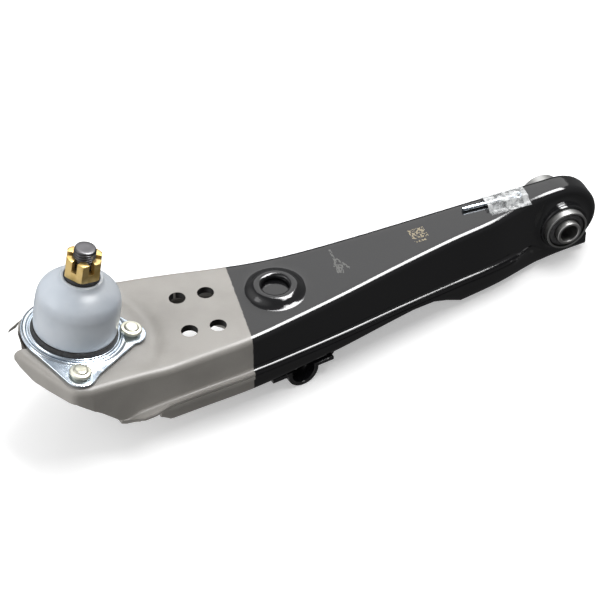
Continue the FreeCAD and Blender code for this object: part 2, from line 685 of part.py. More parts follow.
def shipping_tape():
    """Clear tape over the split pin: flat wings and a tent over the wire."""
    low, high = TAPE_Y
    middle = (PIN_START.y + PIN_END.y) / 2
    base = TOP_Z + 0.02
    crest = base + TAPE_LIFT
    under = ((low, base), (middle - TENT_FOOT, base), (middle - TENT_TOP, crest), (middle + TENT_TOP, crest),
             (middle + TENT_FOOT, base), (high, base))
    over = tuple((y, z + TAPE_SHEET) for y, z in under)
    loop = under + over[::-1]
    wire = Part.makePolygon([Vec(TAPE_SPAN[0], y, z) for y, z in loop + (loop[0],)])
    return Part.Face(wire).extrude(Vec(TAPE_SPAN[1] - TAPE_SPAN[0], 0, 0))


NODES = {
    "upper_stamping": upper_stamping,
    "lower_stamping": lower_stamping,
    "strut_doubler": strut_doubler,
    "bush_outer_sleeve": bush_outer_sleeve,
    "bush_rubber": bush_rubber,
    "bush_inner_sleeve": bush_inner_sleeve,
    "bush_welds": bush_welds,
    "ball_joint_plate": ball_joint_plate,
    "ball_joint_cup": ball_joint_cup,
    "ball_liner": ball_liner,
    "upper_bearing": upper_bearing,
    "lower_bearing": lower_bearing,
    "preload_spring": preload_spring,
    "cup_cover": cup_cover,
    "grease_plug": grease_plug,
    "flange_rivets": flange_rivets,
    "ball_stud": ball_stud,
    "castle_nut": castle_nut,
    "boot_seal_lip": boot_seal_lip,
    "boot_retaining_ring": boot_retaining_ring,
    "dust_boot": dust_boot,
    "stop_bracket": stop_bracket,
    "bracket_welds": bracket_welds,
    "cotter_pin": cotter_pin,
    "shipping_tape": shipping_tape,
}

os.makedirs("parts", exist_ok=True)
for name, make in NODES.items():
    shape = make()
    print(name, len(shape.Solids), round(shape.Volume), shape.isValid())
    shape.exportStep("parts/" + name + ".step")
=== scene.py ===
"""A suspension control arm on a white sweep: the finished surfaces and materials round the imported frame."""

import math
from contextlib import contextmanager

import bmesh
import bpy
import numpy as np
from mathutils import Matrix, Vector
from mathutils.geometry import delaunay_2d_cdt


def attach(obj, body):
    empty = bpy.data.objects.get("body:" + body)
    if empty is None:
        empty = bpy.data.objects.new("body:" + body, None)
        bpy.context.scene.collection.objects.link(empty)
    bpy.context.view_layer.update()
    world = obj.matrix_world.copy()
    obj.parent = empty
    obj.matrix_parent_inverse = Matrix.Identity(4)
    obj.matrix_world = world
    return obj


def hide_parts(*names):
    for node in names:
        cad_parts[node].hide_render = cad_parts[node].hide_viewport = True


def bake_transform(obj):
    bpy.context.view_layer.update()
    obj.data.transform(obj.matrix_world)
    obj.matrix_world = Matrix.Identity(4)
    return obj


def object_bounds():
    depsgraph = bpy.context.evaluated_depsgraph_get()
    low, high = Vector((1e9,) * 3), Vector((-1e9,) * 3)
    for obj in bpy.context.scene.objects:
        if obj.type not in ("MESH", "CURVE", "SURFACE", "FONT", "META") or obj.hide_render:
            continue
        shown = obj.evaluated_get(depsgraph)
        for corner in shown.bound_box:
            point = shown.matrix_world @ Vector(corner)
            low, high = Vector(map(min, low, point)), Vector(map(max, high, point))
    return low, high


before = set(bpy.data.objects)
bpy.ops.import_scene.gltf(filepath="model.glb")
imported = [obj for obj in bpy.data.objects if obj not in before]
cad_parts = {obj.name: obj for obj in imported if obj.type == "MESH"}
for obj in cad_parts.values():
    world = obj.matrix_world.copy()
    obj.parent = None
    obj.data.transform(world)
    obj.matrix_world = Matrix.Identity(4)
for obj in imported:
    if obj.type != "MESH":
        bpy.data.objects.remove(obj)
CAD_BOX = [list(corner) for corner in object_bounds()]
MM = 0.001

# ---- the arm's driving sizes, in millimetres, as in the frame ----
TOP_Z = 30.0
SHEET = 3.0
FILLET = 5.0
BEND = 2.4
FOOT_Z = -20.0
FLANGE_WIDTH = 4.5
FLANGE_EDGE = 0.8
SOFT_SPAN = (-366, -46)
SOFT_CLEAR = 2.0
FLANGE_START_X = -18.0
END_X = 31.5
END_LOW_Z = -20.0
WALL_END_X = -399.0
PAD_TILT = math.radians(9.67)
PAD_BEND_X = -340.2
# x, near y at the top, near y at FOOT_Z
NEAR_WALL = ((36, -12, -13), (-15, -13.5, -19), (-60, -26, -32), (-101, -34, -40.5), (-151, -46, -51.5),
             (-195, -57.5, -62), (-237, -67.5, -71), (-275, -75.5, -78), (-315, -79.5, -82),
             (-355, -83.7, -86.2), (-377, -87.3, -89.8), (-399, -91.2, -92.2))
FAR_WALL = ((36, 9, 10), (-15, 7, 10), (-77, 5, 9), (-127, 3, 7), (-176, 1.5, 5.5), (-216, 1.5, 5.5),
            (-246, 4, 7.5), (-275, 9, 12), (-304, 15, 18), (-340, 21, 23.5), (-375, 21, 23),
            (-399, 13.4, 14.4))
NOSE = ((-399, -91.2), (-412.5, -90), (-424.5, -69.5), (-436.5, -46), (-439.5, -33), (-435.5, -13.5),
        (-410, 5.5), (-399, 13.4))
NOSE_DRAFT = 1.0
NOSE_CORNER = 9.0
NOSE_MIDDLE = Vector((-380, -28))
# The joint between the stampings: x and height, then from JOINT_STEP_X inboard a drop to END_LOW_Z
JOINT_STEP_X = -30.0
JOINT_STEP_Z = -11.0
JOINT_STEP_RUN = 14.0
FLANGE_LINE = ((-30, -11), (-101, -8.5), (-195, -4), (-271, 0), (-374, 0), (-380, 3), (-394, 17), (-411, 30),
               (-431, 31), (-441, 41), (-445, 41))
FLANGE_FADE = ((-379, 0.0), (-372, 0.5), (-364, 1.0), (-46, 1.0), (-28, 0.0))
EAR = ((-372, 0.0), (-364, 3.2), (-355, 3.6), (-341, 0.0))
PAN_LINE = ((22, -30), (-93, -29), (-118, -16), (-136, -14), (-200, -18), (-340, -18), (-348, -12))
PAN_X = (-348.0, 22.5)
PAN_STATION = 2.5
PAN_KNEES = (-93.0, -118.0, -136.0)
PAN_CORNER = 5.0
PAN_GAP = 0.05
PAN_INSET = 0.4
PAN_HEIGHTS = (-60, -8)
NOTCH = ((-455, -38.5), (-432.3, -38.5), (-430.2, -30), (-429, -19), (-424.3, -7.5), (-428, -11.8),
         (-436, -16.6), (-455, -28))
NOTCH_HEIGHTS = (-40, 60)
TAB_CLEARANCE = ((-80, -3), (-28, -3), (-16, 28), (-16, 60), (-80, 60))

# How far apart the mesh's points are: along the edges, over the top, on the walls, under the bush end and
# round the nose, then how many there are round the bush end, the boss and the collars
STATION = 3.0
TOP_GRID = 4.0
WALL_GRID = 6.0
END_GRID = 4.0
NOSE_STEP = 2.5
END_STEPS = 26
BOSS_COUNT = 96
COLLAR_COUNT = 72

STRUT_HOLE_R = 6.1
STRUT_CENTRE = (-300.0, -32.7)
STRUT_PITCH = (21.0, 35.8)
STRUT_TURN = math.radians(-6.5)
LINK_CENTRE = (-240.0, -32.0)
LINK_ACCESS_R = 15.0
# The boss round the link hole, from its foot to inside the hole: radius and height over the top
BOSS_PROFILE = ((25.0, 0.0), (23.6, 0.08), (22.3, 0.35), (21.0, 0.9), (19.6, 1.9), (18.2, 3.1), (17.0, 4.0),
                (15.8, 4.65), (14.6, 4.95), (13.2, 5.0), (12.0, 4.9), (11.0, 4.5), (10.3, 3.8), (10.05, 2.9),
                (10.0, 1.6))
WINDOW_R = 22.0
WINDOW_X = (-318.0, -284.0)
WINDOW_Y = -17.0
WINDOW_CORNER = 24.0

PLATE_TOP = Vector((-391.6, -31.0, 41.8))
PAD_CENTRE = (-392.1, -31.0)
# The shallow draw beside the pad: distance from the pad's centre, half width, depth, and fade at the walls
GROOVE_R = 56.0
GROOVE_WIDTH = 5.0
GROOVE_DEPTH = 1.7
GROOVE_FADE = 6.0
BALL_Z = 27.0
CUP_R = 24.0
PLATE_ROUND_R = 38.0
RIVET_PLACES = ((47.0, -104.1), (40.1, -13.2), (38.5, 78.0))
LOBE_R = 11.3
WEB_INSET = 2.0
LOBE_SEARCH = (20.0, 65.0)
COLLAR_R = 31.1
BEAD_R = 35.4
# Cross-sections of the plate: out from the collar or the bead, in from the rim, and up from its top
PLATE_LIP = ((0.0, 0.6), (0.0, 1.2), (0.15, 1.45), (0.5, 1.55), (0.9, 1.4), (1.15, 1.0), (1.5, 0.55),
             (2.0, 0.35))
PLATE_BEAD = ((-1.9, 0.45), (-1.4, 0.8), (-0.8, 1.1), (0.0, 1.2), (0.7, 1.05), (1.3, 0.6), (1.8, 0.15),
              (2.1, 0.0))
PLATE_RIM = ((0.9, 0.0), (0.45, -0.06), (0.12, -0.3), (0.0, -0.7), (0.1, -1.2), (0.5, -1.6), (1.5, -1.8),
             (1.7, -SHEET))
RIVET_R = 4.0
RIVET_FOOT_R = 7.0
RIVET_HEAD_R = 7.9

BUSH_R = 16.6
BUSH_SHEET = 1.6
COLLAR_SHEET = 2.6
COLLAR_REACH = 4.5
BUSH_HALF = 24.7
CORE_R = 9.6
CORE_BORE = 7.25
CORE_HALF = 28.4

BALL_R = 13.5
BALL_FLAT = 8.5
NECK_R = 7.0
TAPER_END = 54.0
THREAD_R = 7.9
THREAD_START = 55.4
THREAD_PITCH = 2.0
THREAD_DEPTH = 1.15
THREAD_CHAMFER = 1.6
STUD_LENGTH = 80.8
SEAL_BORE_R = 8.7
SEAL_R = 12.6
SEAL_SPAN = (54.6, 58.7)
RING_BORE_R = 27.45
RING_TOP_Z = 37.55
# The boot's outside, height and radius
BOOT_FOOT = ((33.75, 27.35), (37.7, 27.35), (37.75, 28.8), (38.0, 29.3))
BOOT_PROFILE = ((38.0, 29.3), (40.0, 29.7), (45.0, 30.1), (51.0, 30.35), (59.0, 30.3), (64.0, 30.0),
                (67.5, 29.2), (70.0, 28.0), (72.2, 26.2), (74.4, 23.9), (76.4, 21.4), (78.0, 19.0),
                (79.2, 17.2), (80.3, 16.0), (81.4, 15.3), (82.4, 15.1), (83.1, 14.7))
BOOT_SPLIT = 62.0
BOOT_WALL = 1.8
BOOT_NECK_R = 13.0
BOOT_CROWN_RISE = 12.0

FLOOR_Z = CAD_BOX[0][2]
# The line between the paints: x where y is 0, and how far x moves with y
PAINT_EDGE_X = -264.6
PAINT_SLANT = 0.133
# Centre, half size and turn of each mark on the top
INK_BOXES = (((-120.0, -15.0), (6.3, 5.4), 0.0), ((-120.6, -23.4), (5.4, 1.0), 0.0))
PEN_STROKES = (((-187.8, -14.3), (7.3, 0.8), 1.50), ((-184.0, -24.8), (7.3, 0.9), -1.19),
               ((-188.3, -29.3), (4.8, 2.6), 1.25), ((-189.3, -22.4), (4.2, 0.8), 1.05))
# Painted shade in the unlit space under the strut holes
HOLLOW_SHADE_HALF = (22.0, 25.0)
HOLLOW_SHADE_HEIGHTS = (5.0, TOP_Z - 0.15)
# The unpainted edge in the nose's notch, brownish steel with painted shade on it: everything beyond x,
# between two y
RAW_EDGE_SHADE_X = -428.4
RAW_EDGE_SHADE_Y = (-38.4, -18.5)

# Camera, in degrees and metres
CAMERA_AZIMUTH = -22.55
CAMERA_ELEVATION = 42.23
CAMERA_DISTANCE = 2.0306
CAMERA_TARGET = Vector((-0.2153, -0.0189, 0.0))
CAMERA_LENS = 166.6
SENSOR_WIDTH = 36.0
FLOOR_REACH = 6.0
# Name, place, aim, size and power of each lamp, and whether matt surfaces see it
LAMPS = (("overhead", (0.2, 0.05, 1.7), (-0.15, 0, 0), (1.6, 0.32), 21, True),
         ("edge_strip", (0.55, 0.12, 1.7), (-0.15, 0, 0), (1.3, 0.7), 75, False),
         ("back_softbox", (0.35, 1.35, 1.35), (-0.2, 0, 0), (1.9, 1.3), 13, True),
         ("left_key", (-1.7, 0.2, 1.0), (-0.3, 0, 0), (0.9, 0.9), 7, True))
# The world's brightness from straight down to straight up, and its extra light from the ball joint's side
WORLD_STOPS = ((0.0, 0.45), (0.20, 0.50), (0.42, 0.65), (0.52, 0.85), (0.80, 1.05), (1.0, 1.0))
WORLD_SIDE = (("From Min", -0.25), ("From Max", -0.8), ("To Max", 3.0))
WORLD_STRENGTH = 0.30


# ---- small curve helpers ----
def smooth(share):
    share = min(1.0, max(0.0, share))
    return share * share * (3 - 2 * share)


def linear(table, x):
    """Straight interpolation in a table of (x, value) pairs."""
    rows = sorted(table)
    return float(np.interp(x, [r[0] for r in rows], [r[1] for r in rows]))


def curved(table, column, x):
    """Cubic interpolation through a table's column, by slopes taken across each station's neighbours."""
    rows = sorted(table)
    xs = [r[0] for r in rows]
    ys = [r[column] for r in rows]
    x = min(max(x, xs[0]), xs[-1])
    k = min(max(int(np.searchsorted(xs, x)) - 1, 0), len(xs) - 2)
    low, high = max(k - 1, 0), min(k + 2, len(xs) - 1)
    span = xs[k + 1] - xs[k]
    slope_a = (ys[k + 1] - ys[low]) / (xs[k + 1] - xs[low]) * span
    slope_b = (ys[high] - ys[k]) / (xs[high] - xs[k]) * span
    t = (x - xs[k]) / span
    return ((2 * t ** 3 - 3 * t ** 2 + 1) * ys[k] + (t ** 3 - 2 * t ** 2 + t) * slope_a
            + (3 * t ** 2 - 2 * t ** 3) * ys[k + 1] + (t ** 3 - t ** 2) * slope_b)


def quarter_turn(steps):
    return [math.pi / 2 * k / steps for k in range(steps + 1)]


def rounded(points, radius, steps=5, closed=True):
    """A polyline whose corners are rounded as far as its runs allow."""
    straight, share = math.radians(176), 0.48
    out = []
    count = len(points)
    for k, point in enumerate(points):
        here = Vector(point)
        back = Vector(points[k - 1]) - here
        ahead = Vector(points[(k + 1) % count]) - here
        angle = back.angle(ahead, math.pi)
        if angle > straight or not closed and k in (0, count - 1):
            out.append(tuple(point))
            continue
        reach = min(radius / math.tan(angle / 2), back.length * share, ahead.length * share)
        start = here + back.normalized() * reach
        end = here + ahead.normalized() * reach
        for j in range(steps + 1):
            t = j / steps
            out.append(tuple(start.lerp(here, t).lerp(here.lerp(end, t), t)))
    return out


def circle(centre, radius, count):
    return [(centre[0] + radius * math.cos(2 * math.pi * k / count),
             centre[1] + radius * math.sin(2 * math.pi * k / count)) for k in range(count)]


def ring_row(centre, radius, z, count):
    return [Vector((x, y, z)) for x, y in circle(centre, radius, count)]


# ---- mesh helpers ----
def linked(name, data):
    """A new object in the scene, round its data."""
    obj = bpy.data.objects.new(name, data)
    bpy.context.scene.collection.objects.link(obj)
    return obj


def add_object(name, verts, faces):
    mesh = bpy.data.meshes.new(name)
    mesh.from_pydata([Vector(v) * MM for v in verts], [], faces)
    return linked(name, mesh)


@contextmanager
def edited(obj):
    """An object's mesh opened as a bmesh and written back afterwards."""
    bm = bmesh.new()
    bm.from_mesh(obj.data)
    yield bm
    bm.to_mesh(obj.data)
    bm.free()


def clean(obj, merge=1e-5):
    """Merges the patches' shared edges and turns every face the same way."""
    with edited(obj) as bm:
        bmesh.ops.remove_doubles(bm, verts=bm.verts, dist=merge)
        bmesh.ops.dissolve_degenerate(bm, edges=bm.edges, dist=merge)
        loose = [v for v in bm.verts if not v.link_faces]
        bmesh.ops.delete(bm, geom=loose, context="VERTS")
        bmesh.ops.recalc_face_normals(bm, faces=bm.faces)


def settle(obj):
    """Applies an object's modifiers to its mesh."""
    depsgraph = bpy.context.evaluated_depsgraph_get()
    mesh = bpy.data.meshes.new_from_object(obj.evaluated_get(depsgraph))
    obj.modifiers.clear()
    obj.data = mesh


def shade(obj, angle):
    obj.data.shade_smooth()
    obj.data.set_sharp_from_angle(angle=math.radians(angle))


def bevel(obj, width):
    modifier = obj.modifiers.new("edge", "BEVEL")
    modifier.width = width * MM
    modifier.segments = 2
    modifier.limit_method = "ANGLE"
    modifier.angle_limit = math.radians(30)
    modifier.use_clamp_overlap = True
    settle(obj)


def finish_piece(obj, material, body, node):
    """Gives a piece its material and slot, the frame node it replaces and the body it rides."""
    obj.data.materials.clear()
    obj.data.materials.append(material)
    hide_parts(node)
    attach(obj, body)


def inside(points, loop):
    """Which points lie in a closed 2D loop, by counting crossings."""
    px, py = points[:, 0], points[:, 1]
    result = np.zeros(len(points), bool)
    for (ax, ay), (bx, by) in zip(loop, loop[1:] + loop[:1]):
        if ay == by:
            continue
        crosses = ((ay > py) != (by > py)) & (px < (bx - ax) * (py - ay) / (by - ay) + ax)
        result ^= crosses
    return result


def filled(loops, spacing):
    """Triangles over a closed outline with holes, with a grid of points inside it."""
    row_pitch, clearance, with_holes, merge = 0.87, 0.55, 4, 1e-7
    loops = [[(float(a), float(b)) for a, b in loop] for loop in loops]
    rim = np.array([p for loop in loops for p in loop])
    low, high = rim.min(0), rim.max(0)
    gx, gy = np.meshgrid(np.arange(low[0], high[0], spacing), np.arange(low[1], high[1], spacing * row_pitch))
    gx = gx + (np.arange(gx.shape[0]) % 2)[:, None] * spacing / 2
    grid = np.c_[gx.ravel(), gy.ravel()]
    keep = inside(grid, loops[0])
    for hole in loops[1:]:
        keep &= ~inside(grid, hole)
    grid = grid[keep]
    gap = np.full(len(grid), np.inf)
    for point in rim:
        gap = np.minimum(gap, np.hypot(grid[:, 0] - point[0], grid[:, 1] - point[1]))
    grid = grid[gap > spacing * clearance]
    points = [Vector(p) for p in rim] + [Vector(p) for p in grid]
    edges = []
    start = 0
    for loop in loops:
        count = len(loop)
        edges += [(start + k, start + (k + 1) % count) for k in range(count)]
        start += count
    coords, _, faces = delaunay_2d_cdt(points, edges, [], with_holes, merge)[:3]
    return [tuple(c) for c in coords], [tuple(f) for f in faces]


class Patchwork:
    """Collects patches of one surface before they are merged."""

    def __init__(self):
        self.verts = []
        self.faces = []

    def add(self, verts, faces):
        start = len(self.verts)
        self.verts += verts
        self.faces += [tuple(start + k for k in face) for face in faces]

    def strip(self, rows, closed=False):
        """Quads between rows of points of the same length."""
        count = len(rows[0])
        verts = [p for row in rows for p in row]
        faces = []
        last = count if closed else count - 1
        for r in range(len(rows) - 1):
            for k in range(last):
                nxt = (k + 1) % count
                faces.append((r * count + k, r * count + nxt, (r + 1) * count + nxt, (r + 1) * count + k))
        self.add(verts, faces)


def turned(name, rows):
    """A skin through rows that give a radius and a height at each even step round Z."""
    work = Patchwork()
    turns = [2 * math.pi * k / len(rows[0]) for k in range(len(rows[0]))]
    work.strip([[Vector((r * math.cos(t), r * math.sin(t), z)) for (r, z), t in zip(row, turns)]
                for row in rows], closed=True)
    obj = add_object(name, work.verts, work.faces)
    clean(obj)
    return obj


def lathe(name, profile, place, count):
    """A closed (radius, height) profile turned about Z, then placed."""
    obj = turned(name, [[point] * count for point in [*profile, profile[0]]])
    if place is not None:
        obj.data.transform(place)
    return obj


def joint_axis(height=0.0):
    """The ball joint's own frame on the sloping pad, moved up its axis."""
    lift = Vector((0, 0, height - TOP_Z - SHEET)) * MM
    return Matrix.Translation(PLATE_TOP * MM) @ Matrix.Rotation(PAD_TILT, 4, "Y") @ Matrix.Translation(lift)


def stud_axis():
    return joint_axis(BALL_Z)


def bush_axis():
    return Matrix.Rotation(math.radians(90), 4, "X")


# ---- materials ----
class Shader:
    """A node material under construction, on object coordinates."""

    def __init__(self, name, **sockets):
        self.material = bpy.data.materials.new(name)
        self.material.use_nodes = True
        self.tree = self.material.node_tree
        self.bsdf = self.tree.nodes["Principled BSDF"]
        self.where = self.tree.nodes.new("ShaderNodeTexCoord").outputs["Object"]
        for socket, value in sockets.items():
            self.bsdf.inputs[socket.replace("_", " ")].default_value = value

    def node(self, kind, inputs=None, **settings):
        made = self.tree.nodes.new(kind)
        for key, value in settings.items():
            setattr(made, key, value)
        for key, value in (inputs or {}).items():
            if isinstance(value, bpy.types.NodeSocket):
                self.tree.links.new(value, made.inputs[key])
            else:
                made.inputs[key].default_value = value
        return made

    def noise(self, scale, detail=4.0, roughness=0.55, vector=None, stretch=None):
        vector = vector or self.where
        if stretch:
            vector = self.node("ShaderNodeMapping", {"Vector": vector, "Scale": stretch}).outputs[0]
        return self.node("ShaderNodeTexNoise", {"Vector": vector, "Scale": scale, "Detail": detail,
                                                "Roughness": roughness}).outputs["Fac"]

    def ranged(self, value, low, high, out_low=0.0, out_high=1.0):
        made = self.node("ShaderNodeMapRange", {"Value": value, "From Min": low, "From Max": high,
                                                "To Min": out_low, "To Max": out_high})
        made.interpolation_type = "SMOOTHSTEP"
        return made.outputs["Result"]

    def mix(self, fac, a, b):
        made = self.tree.nodes.new("ShaderNodeMix")
        made.data_type = "RGBA"
        for key, value in ((0, fac), (6, a), (7, b)):
            if isinstance(value, bpy.types.NodeSocket):
                self.tree.links.new(value, made.inputs[key])
            else:
                made.inputs[key].default_value = value
        return made.outputs[2]

    def maths(self, operation, a, b):
        return self.node("ShaderNodeMath", {0: a, 1: b}, operation=operation).outputs[0]

    def colour(self, socket):
        self.tree.links.new(socket, self.bsdf.inputs["Base Color"])

    def roughness(self, socket):
        self.tree.links.new(socket, self.bsdf.inputs["Roughness"])

    def bump(self, height, strength, distance, under=None):
        inputs = {"Height": height, "Strength": strength, "Distance": distance * MM}
        if under is not None:
            inputs["Normal"] = under
        made = self.node("ShaderNodeBump", inputs)
        self.tree.links.new(made.outputs[0], self.bsdf.inputs["Normal"])
        return made.outputs[0]


def turned_box(s, axes, centre, half, turn=0.0):
    """1 inside a turned rectangle seen from above and 0 outside it; its sizes are in mm."""
    dx = s.maths("SUBTRACT", axes.outputs[0], centre[0] * MM)
    dy = s.maths("SUBTRACT", axes.outputs[1], centre[1] * MM)
    cosine, sine = math.cos(turn), math.sin(turn)
    along = s.maths("ADD", s.maths("MULTIPLY", dx, cosine), s.maths("MULTIPLY", dy, sine))
    across = s.maths("SUBTRACT", s.maths("MULTIPLY", dy, cosine), s.maths("MULTIPLY", dx, sine))
    within = s.maths("LESS_THAN", s.maths("ABSOLUTE", along, 0.0), half[0] * MM)
    return s.maths("MULTIPLY", within, s.maths("LESS_THAN", s.maths("ABSOLUTE", across, 0.0), half[1] * MM))


def top_marks(s, axes, boxes, cover, level):
    """Boxes of broken-up ink on the top face only."""
    outside = s.maths("GREATER_THAN", axes.outputs[2], (TOP_Z - SHEET / 2) * MM)
    spread = 0.0
    for centre, half, turn in boxes:
        spread = s.maths("MAXIMUM", spread, turned_box(s, axes, centre, half, turn))
    return s.maths("MULTIPLY", s.maths("MULTIPLY", outside, spread), s.maths("GREATER_THAN", cover, level))


def between(s, value, low, high, under=1.0):
    """Another mask, under, kept only where a value lies between two limits in mm."""
    kept = s.maths("MULTIPLY", under, s.maths("GREATER_THAN", value, low * MM))
    return s.maths("MULTIPLY", kept, s.maths("LESS_THAN", value, high * MM))


def arm_paint():
    """Grey primer outboard and gloss black inboard, with a masked line between them."""
    s = Shader("arm_paint", Specular_IOR_Level=0.5)
    axes = s.node("ShaderNodeSeparateXYZ", {0: s.where})
    slant = s.maths("MULTIPLY", axes.outputs[1], PAINT_SLANT)
    line = s.maths("SUBTRACT", axes.outputs[0], slant)
    wander = s.maths("MULTIPLY", s.maths("SUBTRACT", s.noise(240.0), 0.5), 1.2 * MM)
    line = s.maths("ADD", line, wander)
    black = s.ranged(line, (PAINT_EDGE_X - 0.6) * MM, (PAINT_EDGE_X + 0.4) * MM)
    fine = s.noise(1800.0, 3.0)
    broad = s.noise(28.0, 3.0)
    grey = s.mix(s.ranged(broad, 0.3, 0.7), (0.285, 0.270, 0.248, 1), (0.335, 0.318, 0.294, 1))
    grey = s.mix(s.ranged(fine, 0.45, 0.75, 0.0, 0.35), grey, (0.235, 0.222, 0.205, 1))
    dust = s.ranged(s.noise(900.0, 2.0), 0.70, 0.78, 0.0, 0.5)
    dark = s.mix(dust, (0.0075, 0.0075, 0.0085, 1), (0.035, 0.035, 0.036, 1))
    # The notch's cut edge: bare brownish steel, made darker by painted shade
    beyond = s.maths("LESS_THAN", axes.outputs[0], RAW_EDGE_SHADE_X * MM)
    raw_edge_and_shade = between(s, axes.outputs[1], RAW_EDGE_SHADE_Y[0], RAW_EDGE_SHADE_Y[1], beyond)
    grey = s.mix(raw_edge_and_shade, grey, (0.030, 0.020, 0.014, 1))
    # Painted shade: the grey turns near black inside the arm, under the strut holes
    under_holes = turned_box(s, axes, STRUT_CENTRE, HOLLOW_SHADE_HALF)
    hollow_shade = between(s, axes.outputs[2], HOLLOW_SHADE_HEIGHTS[0], HOLLOW_SHADE_HEIGHTS[1], under_holes)
    grey = s.mix(hollow_shade, grey, (0.012, 0.011, 0.010, 1))
    stamp = top_marks(s, axes, INK_BOXES, s.noise(850.0, 0.0), 0.5)
    scribble = top_marks(s, axes, PEN_STROKES, s.noise(700.0, 2.0, stretch=(1.0, 0.4, 1.0)), 0.45)
    dark = s.mix(stamp, dark, (0.30, 0.25, 0.16, 1))
    dark = s.mix(scribble, dark, (0.105, 0.105, 0.10, 1))
    s.colour(s.mix(black, grey, dark))
    grey_rough = s.ranged(broad, 0.3, 0.7, 0.40, 0.50)
    black_rough = s.ranged(broad, 0.3, 0.7, 0.09, 0.14)
    rough = s.node("ShaderNodeMix", {0: black, 2: grey_rough, 3: black_rough})
    s.roughness(rough.outputs[0])
    peel = s.bump(s.noise(420.0, 2.0), 0.10, 0.25)
    s.bump(fine, 0.10, 0.10, peel)
    return s.material


def zinc_plate():
    s = Shader("bright_zinc", Metallic=1.0)
    tint = s.noise(60.0, 3.0)
    s.colour(s.mix(s.ranged(tint, 0.35, 0.65), (0.50, 0.57, 0.65, 1), (0.64, 0.70, 0.76, 1)))
    s.roughness(s.ranged(s.noise(120.0, 3.0), 0.3, 0.7, 0.17, 0.26))
    s.bump(s.noise(160.0, 2.0), 0.02, 0.10)
    return s.material


def yellow_zinc(name, deep, light, rough):
    s = Shader(name, Metallic=0.85)
    tint = s.noise(130.0, 4.0)
    s.colour(s.mix(s.ranged(tint, 0.35, 0.65), deep, light))
    s.roughness(s.ranged(s.noise(200.0, 3.0), 0.3, 0.7, rough[0], rough[1]))
    s.bump(s.noise(400.0, 2.0), 0.04, 0.10)
    return s.material


def machined(name, base, rough, streak=(1.0, 1.0, 26.0)):
    """Bare steel with fine turning marks across the stretched axis."""
    s = Shader(name, Metallic=1.0)
    lines = s.noise(500.0, 3.0, stretch=streak)
    patch = s.noise(45.0, 3.0)
    darker = tuple(c * 0.72 for c in base) + (1,)
    s.colour(s.mix(s.ranged(patch, 0.3, 0.7), darker, base + (1,)))
    s.roughness(s.ranged(lines, 0.3, 0.7, rough - 0.06, rough + 0.08))
    s.bump(lines, 0.12, 0.10)
    return s.material


def boot_nylon():
    s = Shader("boot_nylon", Roughness=0.34, Subsurface_Weight=0.55, Subsurface_Scale=0.006, IOR=1.5)
    s.bsdf.inputs["Subsurface Radius"].default_value = (1.0, 1.0, 1.0)
    cloud = s.noise(40.0, 3.0)
    s.colour(s.mix(s.ranged(cloud, 0.35, 0.65), (0.50, 0.545, 0.60, 1), (0.56, 0.60, 0.65, 1)))
    s.bump(s.noise(350.0, 2.0), 0.05, 0.2)
    return s.material


def rubber(name, base):
    s = Shader(name, Roughness=0.62)
    spots = s.noise(500.0, 4.0)
    s.colour(s.mix(s.ranged(spots, 0.4, 0.7), (base, base, base, 1), (base * 2.1, base * 2.1, base * 2.2, 1)))
    s.bump(spots, 0.25, 0.2)
    return s.material


def acetal():
    s = Shader("acetal", Roughness=0.35, Subsurface_Weight=0.2, Subsurface_Scale=0.002)
    s.colour(s.mix(s.ranged(s.noise(90.0), 0.35, 0.65), (0.70, 0.67, 0.58, 1), (0.78, 0.75, 0.66, 1)))
    return s.material


def clear_film():
    s = Shader("clear_film", Roughness=0.10, IOR=1.45, Specular_IOR_Level=0.9)
    crinkle = s.noise(260.0, 4.0)
    s.colour(s.mix(s.ranged(crinkle, 0.4, 0.7), (0.80, 0.82, 0.83, 1), (0.95, 0.96, 0.96, 1)))
    alpha = s.ranged(crinkle, 0.35, 0.65, 0.10, 0.55)
    s.tree.links.new(alpha, s.bsdf.inputs["Alpha"])
    s.bump(crinkle, 0.7, 0.5)
    return s.material


def white_floor():
    s = Shader("white_floor", Roughness=0.9, Specular_IOR_Level=0.1, Emission_Color=(1, 1, 1, 1),
               Emission_Strength=0.35)
    s.colour(s.mix(s.ranged(s.noise(3.0), 0.3, 0.7), (0.86, 0.86, 0.86, 1), (0.87, 0.87, 0.87, 1)))
    return s.material


PAINT = arm_paint()
ZINC = zinc_plate()
NUT_FINISH = yellow_zinc("nut_yellow_zinc", (0.50, 0.345, 0.115, 1), (0.64, 0.47, 0.20, 1), (0.28, 0.38))
RIVET_FINISH = yellow_zinc("rivet_pale_zinc", (0.50, 0.49, 0.40, 1), (0.60, 0.595, 0.52, 1), (0.30, 0.40))
STEEL = machined("bush_steel", (0.30, 0.30, 0.295), 0.42, (1.0, 24.0, 1.0))
CORE_STEEL = machined("core_steel", (0.40, 0.40, 0.39), 0.40, (1.0, 24.0, 1.0))
DARK_STEEL = machined("phosphated_steel", (0.125, 0.122, 0.128), 0.34)
SPRING_STEEL = machined("spring_steel", (0.30, 0.30, 0.31), 0.32)
NYLON = boot_nylon()
RUBBER = rubber("black_rubber", 0.018)
BUSH_RUBBER = rubber("bush_rubber", 0.032)
ACETAL = acetal()
FILM = clear_film()


# ---- the upper stamping ----
def wall_y(table, x, z):
    """A wall's y at a height, on its straight draft from the top to FOOT_Z."""
    share = max(0.0, (TOP_Z - z) / (TOP_Z - FOOT_Z))
    return curved(table, 1, x) * (1 - share) + curved(table, 2, x) * share


def top_z(x):
    """The top face's height: level, then up the ball joint's pad."""
    beyond = PAD_BEND_X - x
    soft = 7.0
    if beyond <= -soft:
        return TOP_Z
    rise = beyond if beyond >= soft else (beyond + soft) ** 2 / (4 * soft)
    return TOP_Z + rise * math.tan(PAD_TILT)


